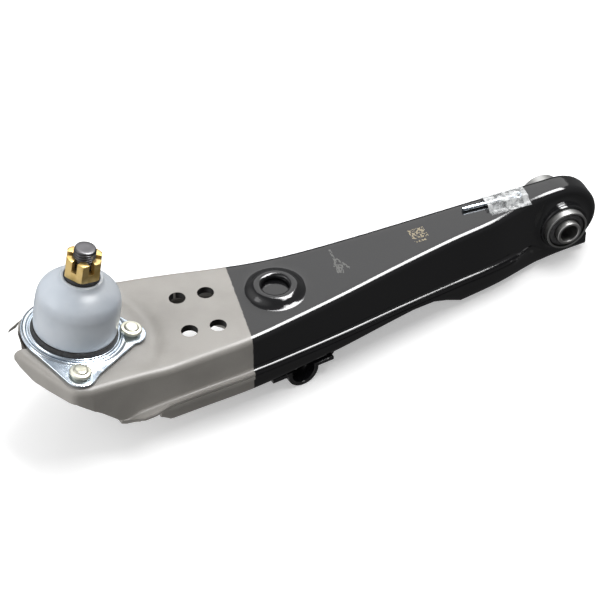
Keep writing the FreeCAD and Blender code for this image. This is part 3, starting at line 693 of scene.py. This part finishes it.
def nose_path():
    """The outline round the outer end, as points with their outward normals."""
    line = rounded(NOSE, NOSE_CORNER, 6, closed=False)
    points = [Vector(line[0])]
    for target in line[1:]:
        step = Vector(target) - points[-1]
        cuts = max(1, int(step.length / NOSE_STEP))
        base = points[-1].copy()
        points += [base + step * (k + 1) / cuts for k in range(cuts)]
    out = []
    for k, point in enumerate(points):
        tangent = points[min(k + 1, len(points) - 1)] - points[max(k - 1, 0)]
        normal = Vector((tangent.y, -tangent.x)).normalized()
        out.append((point, -normal if normal.dot(point - NOSE_MIDDLE) < 0 else normal))
    out[0] = (out[0][0], Vector((0, -1)))
    out[-1] = (out[-1][0], Vector((0, 1)))
    return out


def joint_z(x):
    """The height where the two stampings meet."""
    if x < JOINT_STEP_X:
        return linear(FLANGE_LINE, x)
    drop = smooth((x - JOINT_STEP_X) / JOINT_STEP_RUN)
    return JOINT_STEP_Z + (END_LOW_Z - JOINT_STEP_Z) * drop


def lower_edge(x):
    """The height where the wall ends and the flange's bend starts."""
    return joint_z(x) + linear(FLANGE_FADE, x) * (SHEET + BEND)


def rail_stations():
    """x stations along the arm, then angles round the bush end."""
    straight = list(np.arange(WALL_END_X, -1.0, STATION)) + [0.0]
    turn_end = math.acos(END_LOW_Z / TOP_Z)
    arc = [turn_end * (k + 1) / END_STEPS for k in range(END_STEPS)]
    return straight, arc


def rail(table, sign):
    """Rows of one long side: cap edge (developed), cap edge, fillet frame and wall start, from outboard."""
    rows = []
    straight, arc = rail_stations()
    for x in straight:
        top = top_z(x)
        y = wall_y(table, x, top - FILLET)
        rows.append({"x": x, "develop": x, "cap": Vector((x, y - sign * FILLET, top)),
                     "up": Vector((0, 0, FILLET)), "out": Vector((0, sign * FILLET, 0)),
                     "wall": (x, top - FILLET)})
    length = 0.0
    last = (0.0, TOP_Z)
    for angle in arc:
        here = (END_X * math.sin(angle), TOP_Z * math.cos(angle))
        length += math.hypot(here[0] - last[0], here[1] - last[1])
        last = here
        inner = ((END_X - FILLET) * math.sin(angle), (TOP_Z - FILLET) * math.cos(angle))
        y = wall_y(table, inner[0], TOP_Z - FILLET)
        rows.append({"x": here[0], "develop": length, "cap": Vector((here[0], y - sign * FILLET, here[1])),
                     "up": Vector((here[0] - inner[0], 0, here[1] - inner[1])),
                     "out": Vector((0, sign * FILLET, 0)), "wall": inner})
    return rows


def develop_back(ends, point):
    """From the cap's flat layout to its place, bending round the bush end."""
    if point[0] <= 0:
        return Vector((point[0], point[1], top_z(point[0]) + top_relief(point[0], point[1])))
    lengths = [0.0] + [r["develop"] for r in ends]
    x = float(np.interp(point[0], lengths, [0.0] + [r["cap"].x for r in ends]))
    z = float(np.interp(point[0], lengths, [TOP_Z] + [r["cap"].z for r in ends]))
    return Vector((x, point[1], z))


def top_relief(x, y):
    """The slight draw on the pad's inboard side, fading out towards the walls."""
    if x <= PAD_CENTRE[0]:
        return 0.0
    away = math.hypot(x - PAD_CENTRE[0], y - PAD_CENTRE[1])
    facing = smooth(((x - PAD_CENTRE[0]) / max(away, 1.0) - 0.45) / 0.4)
    groove = GROOVE_DEPTH * facing * math.exp(-((away - GROOVE_R) / GROOVE_WIDTH) ** 2)
    near = (y - curved(NEAR_WALL, 1, x) - FILLET) / GROOVE_FADE
    far = (curved(FAR_WALL, 1, x) - FILLET - y) / GROOVE_FADE
    return -groove * smooth(near) * smooth(far)


def strut_centres():
    cosine, sine = math.cos(STRUT_TURN), math.sin(STRUT_TURN)
    out = []
    for a, b in ((-0.5, -0.5), (-0.5, 0.5), (0.5, -0.5), (0.5, 0.5)):
        along, across = a * STRUT_PITCH[0], b * STRUT_PITCH[1]
        out.append((STRUT_CENTRE[0] + along * cosine - across * sine,
                    STRUT_CENTRE[1] + along * sine + across * cosine))
    return out


def cap_patch(work, near, far, nose):
    loop = [(r["develop"], r["cap"].y) for r in near[::-1]]
    for point, normal in nose[1:-1]:
        edge = point - normal * FILLET
        loop.append((edge.x, edge.y))
    loop += [(r["develop"], r["cap"].y) for r in far]
    span = far[-1]["cap"].y - near[-1]["cap"].y
    loop += [(far[-1]["develop"], far[-1]["cap"].y - span * k / 4) for k in (1, 2, 3)]
    holes = [circle(LINK_CENTRE, BOSS_PROFILE[0][0], BOSS_COUNT), circle(PAD_CENTRE, CUP_R, BOSS_COUNT)]
    coords, faces = filled([loop] + holes, TOP_GRID)
    ends = [r for r in near if r["develop"] > 0]
    work.add([develop_back(ends, c) for c in coords], faces)


def boss_patch(work):
    """The raised ring round the stabiliser-link hole, rolled down into the hole."""
    rows = [ring_row(LINK_CENTRE, radius, TOP_Z + rise, BOSS_COUNT) for radius, rise in BOSS_PROFILE]
    work.strip(rows, closed=True)


def fillet_frames(near, far, nose):
    """Cap edge, up and out vectors all the way round, from the near bush end to the far one."""
    frames = [(r["cap"], r["up"], r["out"]) for r in near[::-1]]
    for point, normal in nose[1:-1]:
        edge = point - normal * FILLET
        frames.append((Vector((edge.x, edge.y, top_z(edge.x))), Vector((0, 0, FILLET)),
                       Vector((normal.x, normal.y, 0)) * FILLET))
    frames += [(r["cap"], r["up"], r["out"]) for r in far]
    return frames


def fillet_patch(work, frames):
    work.strip([[cap - up + up * math.cos(a) + out * math.sin(a) for cap, up, out in frames]
                for a in quarter_turn(7)])


def side_patch(work, table, rows, sign):
    """One long wall with the turned-out lip round the bush."""
    top = [r["wall"] for r in rows]
    last = top[-1]
    bottom = [(last[0] - END_GRID, END_LOW_Z)]
    bottom += [(x, END_LOW_Z) for x in np.arange(12.0, -17.0, -END_GRID)]
    bottom += [(x, lower_edge(x)) for x in np.arange(FLANGE_START_X, WALL_END_X, -STATION)]
    bottom.append((WALL_END_X, lower_edge(WALL_END_X)))
    lip, reach = BUSH_R + COLLAR_SHEET, COLLAR_REACH
    # radius, way out, and how far the ring follows the slope of the wall
    collar = [(lip + 0.5, 0.0, 1.0), (lip + 0.15, 0.25, 1.0), (lip, 0.9, 1.0), (lip, reach - 0.6, 0.0),
              (lip - 0.3, reach - 0.1, 0.0), (lip - 0.8, reach, 0.0), (BUSH_R + 0.8, reach, 0.0),
              (BUSH_R + 0.2, reach - 0.2, 0.0), (BUSH_R + 0.05, reach - 1.0, 0.0)]
    coords, faces = filled([top + bottom, circle((0, 0), collar[0][0], COLLAR_COUNT)], WALL_GRID)
    work.add([Vector((x, wall_y(table, x, z), z)) for x, z in coords], faces)
    strips = []
    for radius, out, follow in collar:
        row = []
        for x, z in circle((0, 0), radius, COLLAR_COUNT):
            base = wall_y(table, x, z) * follow + wall_y(table, 0.0, 0.0) * (1 - follow)
            row.append(Vector((x, base + sign * out, z)))
        strips.append(row)
    work.strip(strips, closed=True)


def side_flange(work, table, sign, ear):
    """The bend and weld flange along one wall."""
    columns = []
    for x in [*np.arange(FLANGE_START_X, WALL_END_X, -STATION), WALL_END_X]:
        fade = linear(FLANGE_FADE, x)
        z = lower_edge(x)
        y = wall_y(table, x, z)
        bend = BEND * fade + 0.001
        extra = linear(EAR, x) if ear else 0.0
        width = (FLANGE_WIDTH + extra) * fade
        column = [Vector((x, y + sign * bend * (1 - math.cos(a)), z - bend * math.sin(a)))
                  for a in quarter_turn(5)]
        for share in (0.35, 0.7, 1.0):
            reach = bend + (width - bend) * share
            column.append(Vector((x, y + sign * max(reach, bend), z - bend)))
        columns.append(column)
    work.strip([list(row) for row in zip(*columns)])


def nose_wall(work, nose):
    """The shallow wall round the outer end."""
    rows = []
    for k in range(7):
        row = []
        for point, normal in nose:
            edge = point - normal * FILLET
            high = top_z(edge.x) - FILLET
            z = high + (min(lower_edge(point.x), high - 0.4) - high) * k / 6
            draft = max(0.0, NOSE_DRAFT * (TOP_Z - z) / (TOP_Z - FOOT_Z))
            row.append(Vector((point.x + normal.x * draft, point.y + normal.y * draft, z)))
        rows.append(row)
    near_end, far_end = nose[0][0], nose[-1][0]
    for row in rows:
        row[0].y = wall_y(NEAR_WALL, near_end.x, row[0].z)
        row[-1].y = wall_y(FAR_WALL, far_end.x, row[-1].z)
    work.strip(rows)


def cutter(points, low, high, radius):
    """A tall rounded prism for cutting an opening."""
    loop = rounded(points, radius, 5)
    count = len(loop)
    verts = [Vector((x, y, low)) for x, y in loop] + [Vector((x, y, high)) for x, y in loop]
    faces = [tuple(range(count))[::-1], tuple(range(count, 2 * count))]
    faces += [(k, (k + 1) % count, count + (k + 1) % count, count + k) for k in range(count)]
    return add_object("cutter", verts, faces)


def tab_cutter():
    """The space under the nose's tab, where the pad's sheet has no side wall."""
    tool = cutter(TAB_CLEARANCE, -90, TOP_Z - SHEET, 2.0)
    tool.data.transform(joint_axis())
    return tool


def cut(obj, tool):
    modifier = obj.modifiers.new("cut", "BOOLEAN")
    modifier.object = tool
    modifier.operation = "DIFFERENCE"
    modifier.solver = "EXACT"
    settle(obj)
    bpy.data.objects.remove(tool)


def thicken(obj):
    modifier = obj.modifiers.new("sheet", "SOLIDIFY")
    modifier.thickness = SHEET * MM
    modifier.offset = -1.0
    modifier.use_even_offset = True
    settle(obj)


def along_flange(edge):
    """Whether an edge is a sharp one that runs along a weld flange, clear of the wall."""
    if len(edge.link_faces) != 2 or edge.calc_face_angle(0.0) < math.radians(60):
        return False
    a, b = edge.verts[0].co / MM, edge.verts[1].co / MM
    if max(a.x, b.x) > SOFT_SPAN[1] or min(a.x, b.x) < SOFT_SPAN[0] or abs(a.x - b.x) < 0.5 * (a - b).length:
        return False
    near = min(curved(NEAR_WALL, 2, p.x) - p.y for p in (a, b))
    far = min(p.y - curved(FAR_WALL, 2, p.x) for p in (a, b))
    return max(near, far) > SOFT_CLEAR


def soften_flange(obj):
    """Rounds the sheared edges along the two weld flanges."""
    with edited(obj) as bm:
        chosen = [edge for edge in bm.edges if along_flange(edge)]
        bmesh.ops.bevel(bm, geom=chosen, offset=FLANGE_EDGE * MM, segments=3, affect="EDGES",
                        clamp_overlap=True)


def face_up(obj, direction):
    """Turns the whole surface over if its faces point the wrong way on balance."""
    total = sum(p.normal.dot(direction) * p.area for p in obj.data.polygons)
    if total < 0:
        obj.data.flip_normals()


def upper_stamping():
    near, far, nose = rail(NEAR_WALL, -1), rail(FAR_WALL, 1), nose_path()
    work = Patchwork()
    cap_patch(work, near, far, nose)
    boss_patch(work)
    fillet_patch(work, fillet_frames(near, far, nose))
    side_patch(work, NEAR_WALL, near, -1)
    side_patch(work, FAR_WALL, far, 1)
    side_flange(work, NEAR_WALL, -1, True)
    side_flange(work, FAR_WALL, 1, False)
    nose_wall(work, nose)
    obj = add_object("upper_shell", work.verts, work.faces)
    clean(obj, merge=4e-5)
    face_up(obj, Vector((0, 0, 1)))
    thicken(obj)
    cut(obj, cutter(NOTCH, *NOTCH_HEIGHTS, 1.0))
    cut(obj, tab_cutter())
    soften_flange(obj)
    for centre in strut_centres():
        cut(obj, cutter(circle(centre, STRUT_HOLE_R, 64), TOP_Z - 12, TOP_Z + 12, 0.05))
    shade(obj, 38)
    finish_piece(obj, PAINT, "arm", "upper_stamping")


# ---- the lower stamping ----
def pan_section(x):
    """The pan's outer line at one station, from the near flange's edge to the far one's."""
    fade = linear(FLANGE_FADE, x)
    joint = joint_z(x)
    top = joint - SHEET * fade - PAN_GAP
    web = linear(PAN_LINE, x)
    depth = max(top - web, 0.5)
    bend = min(BEND, depth * 0.4) * fade + 0.001
    corner = min(PAN_CORNER, depth * 0.45)
    line = []
    for table, sign in ((NEAR_WALL, -1), (FAR_WALL, 1)):
        foot = curved(table, 2, x) - sign * PAN_INSET
        edge = wall_y(table, x, joint + SHEET) + sign * (FLANGE_WIDTH * fade + 0.002)
        edge = min(edge, foot - bend - 0.01) if sign < 0 else max(edge, foot + bend + 0.01)
        half = [(edge, top), ((edge + foot + sign * bend) / 2, top)]
        for a in quarter_turn(5):
            half.append((foot + sign * bend * (1 - math.sin(a)), top - bend * (1 - math.cos(a))))
        for share in (0.33, 0.66):
            half.append((foot, top - bend + (web + corner - top + bend) * share))
        for a in quarter_turn(6):
            half.append((foot - sign * corner * (1 - math.cos(a)), web + corner * (1 - math.sin(a))))
        line.append(half)
    near, far = line
    middle = [(near[-1][0] + (far[-1][0] - near[-1][0]) * k / 6, web) for k in range(1, 6)]
    return [Vector((x, y, z)) for y, z in near + middle + far[::-1]]


def lower_stamping():
    xs = sorted({*np.arange(PAN_X[0], PAN_X[1], PAN_STATION), PAN_X[1], *PAN_KNEES})
    work = Patchwork()
    work.strip([pan_section(x) for x in xs])
    obj = add_object("lower_shell", work.verts, work.faces)
    clean(obj)
    face_up(obj, Vector((0, 0, -1)))
    thicken(obj)
    window = [(WINDOW_X[0], -WINDOW_R), (WINDOW_X[1], -WINDOW_R), (WINDOW_X[1] + WINDOW_R, 0),
              (WINDOW_X[1], WINDOW_R), (WINDOW_X[0], WINDOW_R), (WINDOW_X[0] - WINDOW_R, 0)]
    cut(obj, cutter([(x, y + WINDOW_Y) for x, y in window], *PAN_HEIGHTS, WINDOW_CORNER))
    cut(obj, cutter(circle(LINK_CENTRE, LINK_ACCESS_R, 48), *PAN_HEIGHTS, 0.1))
    soften_flange(obj)
    shade(obj, 38)
    finish_piece(obj, PAINT, "arm", "lower_stamping")


# ---- the ball joint ----
def rivet_centre(place):
    turn = math.radians(place[1])
    return (place[0] * math.cos(turn), place[0] * math.sin(turn))


def lobed_radius(turn):
    """How far the lobed plate reaches in one direction: round part, lobes and their straight webs."""
    lobes = [(rivet_centre(place), LOBE_R) for place in RIVET_PLACES]
    webs = [(centre, LOBE_R - WEB_INSET) for centre, _ in lobes]
    away = math.radians(RIVET_PLACES[0][1] - 90)
    hub = ((2 * math.cos(away), 2 * math.sin(away)), PLATE_ROUND_R - 2)
    pairs = [(webs[0], webs[1]), (webs[1], webs[2]), (lobes[0], hub), (lobes[2], hub)]
    heading = Vector((math.cos(turn), math.sin(turn)))
    low, high = LOBE_SEARCH
    for _ in range(22):
        reach = (low + high) / 2
        point = heading * reach
        held = any((point - Vector(c)).length <= r for c, r in lobes + [((0.0, 0.0), PLATE_ROUND_R)])
        held = held or any(in_web(point, a, b) for a, b in pairs)
        low, high = (reach, high) if held else (low, reach)
    return low


def in_web(point, a, b):
    """Whether a point lies between two circles' outer tangents."""
    start, end = Vector(a[0]), Vector(b[0])
    span = (end - start).length
    along = (end - start) / span
    lean = (a[1] - b[1]) / span
    across = Vector((-along.y, along.x)) * math.sqrt(1 - lean * lean)
    from_start = point - start
    share = from_start.dot(along)
    if not a[1] * lean <= share <= span + b[1] * lean:
        return False
    return all(from_start.dot(along * lean + side * across) <= a[1] for side in (-1, 1))


def ball_joint_plate():
    """The pressed plate: lobes, a raised bead and the low lip round the boot's foot ring."""
    count = 240
    top = TOP_Z + SHEET
    reach = [lobed_radius(2 * math.pi * k / count) for k in range(count)]
    bore = CUP_R + 0.1
    inner = [(bore, top + PLATE_LIP[0][1])]
    inner += [(COLLAR_R + out, top + up) for out, up in PLATE_LIP]
    inner += [(BEAD_R + out, top + up) for out, up in PLATE_BEAD]
    rows = [[point] * count for point in inner]
    rows[-1] = [(min(inner[-1][0], edge - 1.2), top) for edge in reach]
    rows += [[(edge - inset, top + drop) for edge in reach] for inset, drop in PLATE_RIM]
    rows += [[(bore, TOP_Z)] * count, rows[0]]
    obj = turned("ball_joint_flange_plate", rows)
    obj.data.transform(joint_axis())
    shade(obj, 40)
    finish_piece(obj, ZINC, "arm", "ball_joint_plate")


def rivet(place, index):
    top = TOP_Z + SHEET
    low = TOP_Z - 2 * SHEET
    foot, shank, head = RIVET_FOOT_R, RIVET_R, RIVET_HEAD_R
    shape = [(0, low - 3.5), (5.5, low - 3.5), (foot, low - 2.2), (foot, low), (shank, low), (shank, top),
             (6.0, top), (6.0, top + 2.0), (head, top + 2.3), (head, top + 3.7), (7.2, top + 4.4),
             (5.2, top + 4.45), (4.8, top + 5.6), (3.8, top + 6.1), (0, top + 6.1)]
    centre = rivet_centre(place)
    spot = Matrix.Translation(Vector((centre[0], centre[1], 0)) * MM)
    obj = lathe("flange_rivet_%d" % index, rounded(shape, 0.45, 4, closed=False), joint_axis() @ spot, 72)
    shade(obj, 50)
    finish_piece(obj, RIVET_FINISH, "arm", "flange_rivets")


def boot_piece(name, low, high):
    """A band of the boot, outside and inside, left open at the seam."""
    steps = 30
    heights = [low + (high - low) * k / steps for k in range(steps + 1)]
    outer = [(curved(BOOT_PROFILE, 1, h), h) for h in heights]
    if low == BOOT_PROFILE[0][0]:
        outer = [(r, h) for h, r in BOOT_FOOT[:-1]] + outer
    inner = [(max(r - BOOT_WALL, BOOT_NECK_R), h - BOOT_WALL * smooth((h - BOOT_SPLIT) / BOOT_CROWN_RISE))
             for r, h in outer[::-1]]
    if high == BOOT_PROFILE[-1][0]:
        inner = [(BOOT_NECK_R + 0.2, high)] + inner
    seam = BOOT_SPLIT * MM
    obj = lathe(name, outer + inner, None, 160)
    with edited(obj) as bm:
        caps = [f for f in bm.faces if all(abs(v.co.z - seam) < 1e-6 for v in f.verts)]
        bmesh.ops.delete(bm, geom=caps, context="FACES_ONLY")
    obj.data.transform(joint_axis())
    shade(obj, 60)
    obj.data.materials.append(NYLON)
    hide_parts("dust_boot")
    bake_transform(obj)


def boot_retainer():
    low, high = TOP_Z + SHEET + 0.65, RING_TOP_Z
    outer = COLLAR_R - 0.06
    profile = rounded([(RING_BORE_R, low), (outer, low), (outer, low + 1.2), (outer - 0.5, high - 0.95),
                       (outer - 1.3, high), (RING_BORE_R, high)], 0.4, 4)
    obj = lathe("boot_retainer", profile, joint_axis(), 160)
    shade(obj, 60)
    finish_piece(obj, RUBBER, "arm", "boot_retaining_ring")


def seal_lip():
    low, high = SEAL_SPAN
    profile = rounded([(SEAL_BORE_R, low), (SEAL_R - 0.6, low), (SEAL_R, low + 0.8), (SEAL_R - 0.2, high),
                       (SEAL_BORE_R, high)], 0.5, 4)
    obj = lathe("stud_seal_lip", profile, stud_axis(), 120)
    shade(obj, 60)
    finish_piece(obj, RUBBER, "seal", "boot_seal_lip")


def ball_stud():
    """Ball, neck, taper and a rolled helical thread with a domed end."""
    count = 96
    profile = [(0.0, -BALL_FLAT), (math.sqrt(BALL_R ** 2 - BALL_FLAT ** 2), -BALL_FLAT)]
    profile += [(BALL_R * math.cos(a), BALL_R * math.sin(a))
                for a in np.linspace(math.asin(-BALL_FLAT / BALL_R) + 0.06, math.acos(NECK_R / BALL_R), 22)]
    profile += [(NECK_R, 14.0), (7.3, 16.5), (8.0, 18.5), (9.6, 22.5), (10.2, 25.0), (8.2, TAPER_END),
                (7.2, TAPER_END + 1)]
    rows = [[point] * count for point in profile]
    height = THREAD_START
    while height < STUD_LENGTH - THREAD_CHAMFER:
        row = []
        for k in range(count):
            phase = (height / THREAD_PITCH - k / count) % 1.0
            row.append((THREAD_R - THREAD_DEPTH * smooth(abs(phase - 0.5) * 2.2 - 0.1), height))
        rows.append(row)
        height += THREAD_PITCH / 10
    dome = ((7.5, -1.1), (7.45, -0.7), (7.2, -0.25), (6.5, 0.0), (4.0, -0.02), (1.5, -0.08), (0.0, -0.1))
    rows += [[(r, STUD_LENGTH + z)] * count for r, z in dome]
    obj = turned("threaded_stud", rows)
    obj.data.transform(stud_axis())
    shade(obj, 50)
    finish_piece(obj, DARK_STEEL, "stud", "ball_stud")


def soft_copy(node, name, material, body, width):
    """A piece on a frame node's own shape, with its flats joined up and its edges broken."""
    obj = linked(name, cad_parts[node].data.copy())
    clean(obj, merge=2e-5)
    with edited(obj) as bm:
        bmesh.ops.dissolve_limit(bm, angle_limit=math.radians(2.0), verts=bm.verts, edges=bm.edges)
    bevel(obj, width)
    shade(obj, 35)
    finish_piece(obj, material, body, node)


# ---- the pivot bush ----
def bush_sleeve():
    half = BUSH_HALF
    inner = BUSH_R - BUSH_SHEET
    shape = [(inner, -half), (BUSH_R, -half), (BUSH_R, half), (inner, half)]
    obj = lathe("bush_outer_shell", rounded(shape, 0.6, 4), bush_axis(), 160)
    shade(obj, 50)
    finish_piece(obj, STEEL, "arm", "bush_outer_sleeve")


def bush_filling():
    outer, inner = BUSH_R - BUSH_SHEET - 0.02, CORE_R + 0.05
    edge = BUSH_HALF - 0.9
    face = [(inner, edge - 1.6), (inner + 0.7, edge - 0.5), (inner + 1.4, edge - 0.1),
            (outer - 1.6, edge - 0.1), (outer - 0.9, edge - 0.6), (outer - 0.5, edge - 1.9),
            (outer, edge - 2.1)]
    shape = face + [(r, -z) for r, z in face[::-1]]
    obj = lathe("bush_rubber_filling", rounded(shape, 0.4, 3), bush_axis(), 160)
    shade(obj, 50)
    finish_piece(obj, BUSH_RUBBER, "arm", "bush_rubber")


def bush_core():
    half = CORE_HALF
    shape = [(CORE_BORE, -half + 0.5), (CORE_BORE + 0.5, -half), (CORE_R - 0.4, -half), (CORE_R, -half + 0.5),
             (CORE_R, half - 0.5), (CORE_R - 0.4, half), (CORE_BORE + 0.5, half), (CORE_BORE, half - 0.5)]
    obj = lathe("bush_core_sleeve", rounded(shape, 0.3, 2), bush_axis(), 128)
    shade(obj, 50)
    finish_piece(obj, CORE_STEEL, "bush_core", "bush_inner_sleeve")


# ---- stage ----
def place_camera():
    data = bpy.data.cameras.new("camera")
    camera = linked("camera", data)
    azimuth, elevation = math.radians(CAMERA_AZIMUTH), math.radians(CAMERA_ELEVATION)
    back = Vector((math.sin(azimuth) * math.cos(elevation), -math.cos(azimuth) * math.cos(elevation),
                   math.sin(elevation)))
    camera.location = CAMERA_TARGET + back * CAMERA_DISTANCE
    camera.rotation_euler = (-back).to_track_quat("-Z", "Y").to_euler()
    data.lens = CAMERA_LENS
    data.sensor_width = SENSOR_WIDTH
    bpy.context.scene.camera = camera


def area_light(name, place, aim, size, power, seen_by_matt):
    data = bpy.data.lights.new(name, "AREA")
    data.shape = "RECTANGLE"
    data.size, data.size_y = size
    data.energy = power
    lamp = linked(name, data)
    lamp.location = place
    lamp.rotation_euler = (Vector(aim) - Vector(place)).to_track_quat("-Z", "Y").to_euler()
    lamp.visible_diffuse = seen_by_matt


def studio_world():
    """Bright above and dimmer low down, with a bright patch far out on the ball joint's side."""
    world = bpy.data.worlds.new("studio")
    bpy.context.scene.world = world
    world.use_nodes = True
    tree = world.node_tree
    where = tree.nodes.new("ShaderNodeTexCoord")
    axes = tree.nodes.new("ShaderNodeSeparateXYZ")
    tree.links.new(where.outputs["Generated"], axes.inputs[0])
    ramp = tree.nodes.new("ShaderNodeValToRGB")
    shift = tree.nodes.new("ShaderNodeMapRange")
    shift.inputs["From Min"].default_value = -1.0
    tree.links.new(axes.outputs[2], shift.inputs["Value"])
    tree.links.new(shift.outputs["Result"], ramp.inputs[0])
    elements = ramp.color_ramp.elements
    for element, (position, level) in zip(elements, (WORLD_STOPS[0], WORLD_STOPS[-1])):
        element.position = position
        element.color = (level, level, level, 1)
    for position, level in WORLD_STOPS[1:-1]:
        elements.new(position).color = (level, level, level, 1)
    side = tree.nodes.new("ShaderNodeMapRange")
    side.interpolation_type = "SMOOTHSTEP"
    for socket, value in WORLD_SIDE:
        side.inputs[socket].default_value = value
    tree.links.new(axes.outputs[0], side.inputs["Value"])
    total = tree.nodes.new("ShaderNodeVectorMath")
    tree.links.new(ramp.outputs[0], total.inputs[0])
    tree.links.new(side.outputs["Result"], total.inputs[1])
    tree.links.new(total.outputs[0], tree.nodes["Background"].inputs[0])
    tree.nodes["Background"].inputs[1].default_value = WORLD_STRENGTH


def studio():
    bpy.context.scene.view_settings.view_transform = "Standard"
    studio_world()
    mesh = bpy.data.meshes.new("floor")
    corners = ((-1, -1), (1, -1), (1, 1), (-1, 1))
    mesh.from_pydata([(x * FLOOR_REACH, y * FLOOR_REACH, FLOOR_Z) for x, y in corners], [], [(0, 1, 2, 3)])
    floor = linked("floor", mesh)
    floor.data.materials.append(white_floor())
    floor.visible_glossy = False
    floor.visible_diffuse = False
    for lamp in LAMPS:
        area_light(*lamp)


place_camera()
upper_stamping()
lower_stamping()
ball_joint_plate()
for number, place in enumerate(RIVET_PLACES, 1):
    rivet(place, number)
boot_piece("dust_boot_bell", BOOT_PROFILE[0][0], BOOT_SPLIT)
boot_piece("dust_boot_crown", BOOT_SPLIT, BOOT_PROFILE[-1][0])
boot_retainer()
seal_lip()
ball_stud()
soft_copy("castle_nut", "slotted_nut", NUT_FINISH, "stud", 0.35)
bush_sleeve()
bush_filling()
bush_core()
soft_copy("stop_bracket", "bump_stop_bracket", PAINT, "arm", 0.5)
studio()

FINISHES = {
    "strut_doubler": PAINT, "bush_welds": PAINT, "bracket_welds": PAINT, "ball_joint_cup": DARK_STEEL,
    "upper_bearing": ACETAL, "lower_bearing": ACETAL, "preload_spring": SPRING_STEEL, "cup_cover": STEEL,
    "grease_plug": ZINC, "ball_liner": ACETAL, "cotter_pin": ZINC, "shipping_tape": FILM,
}
for node, material in FINISHES.items():
    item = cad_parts[node]
    item.data.materials.clear()
    item.data.materials.append(material)
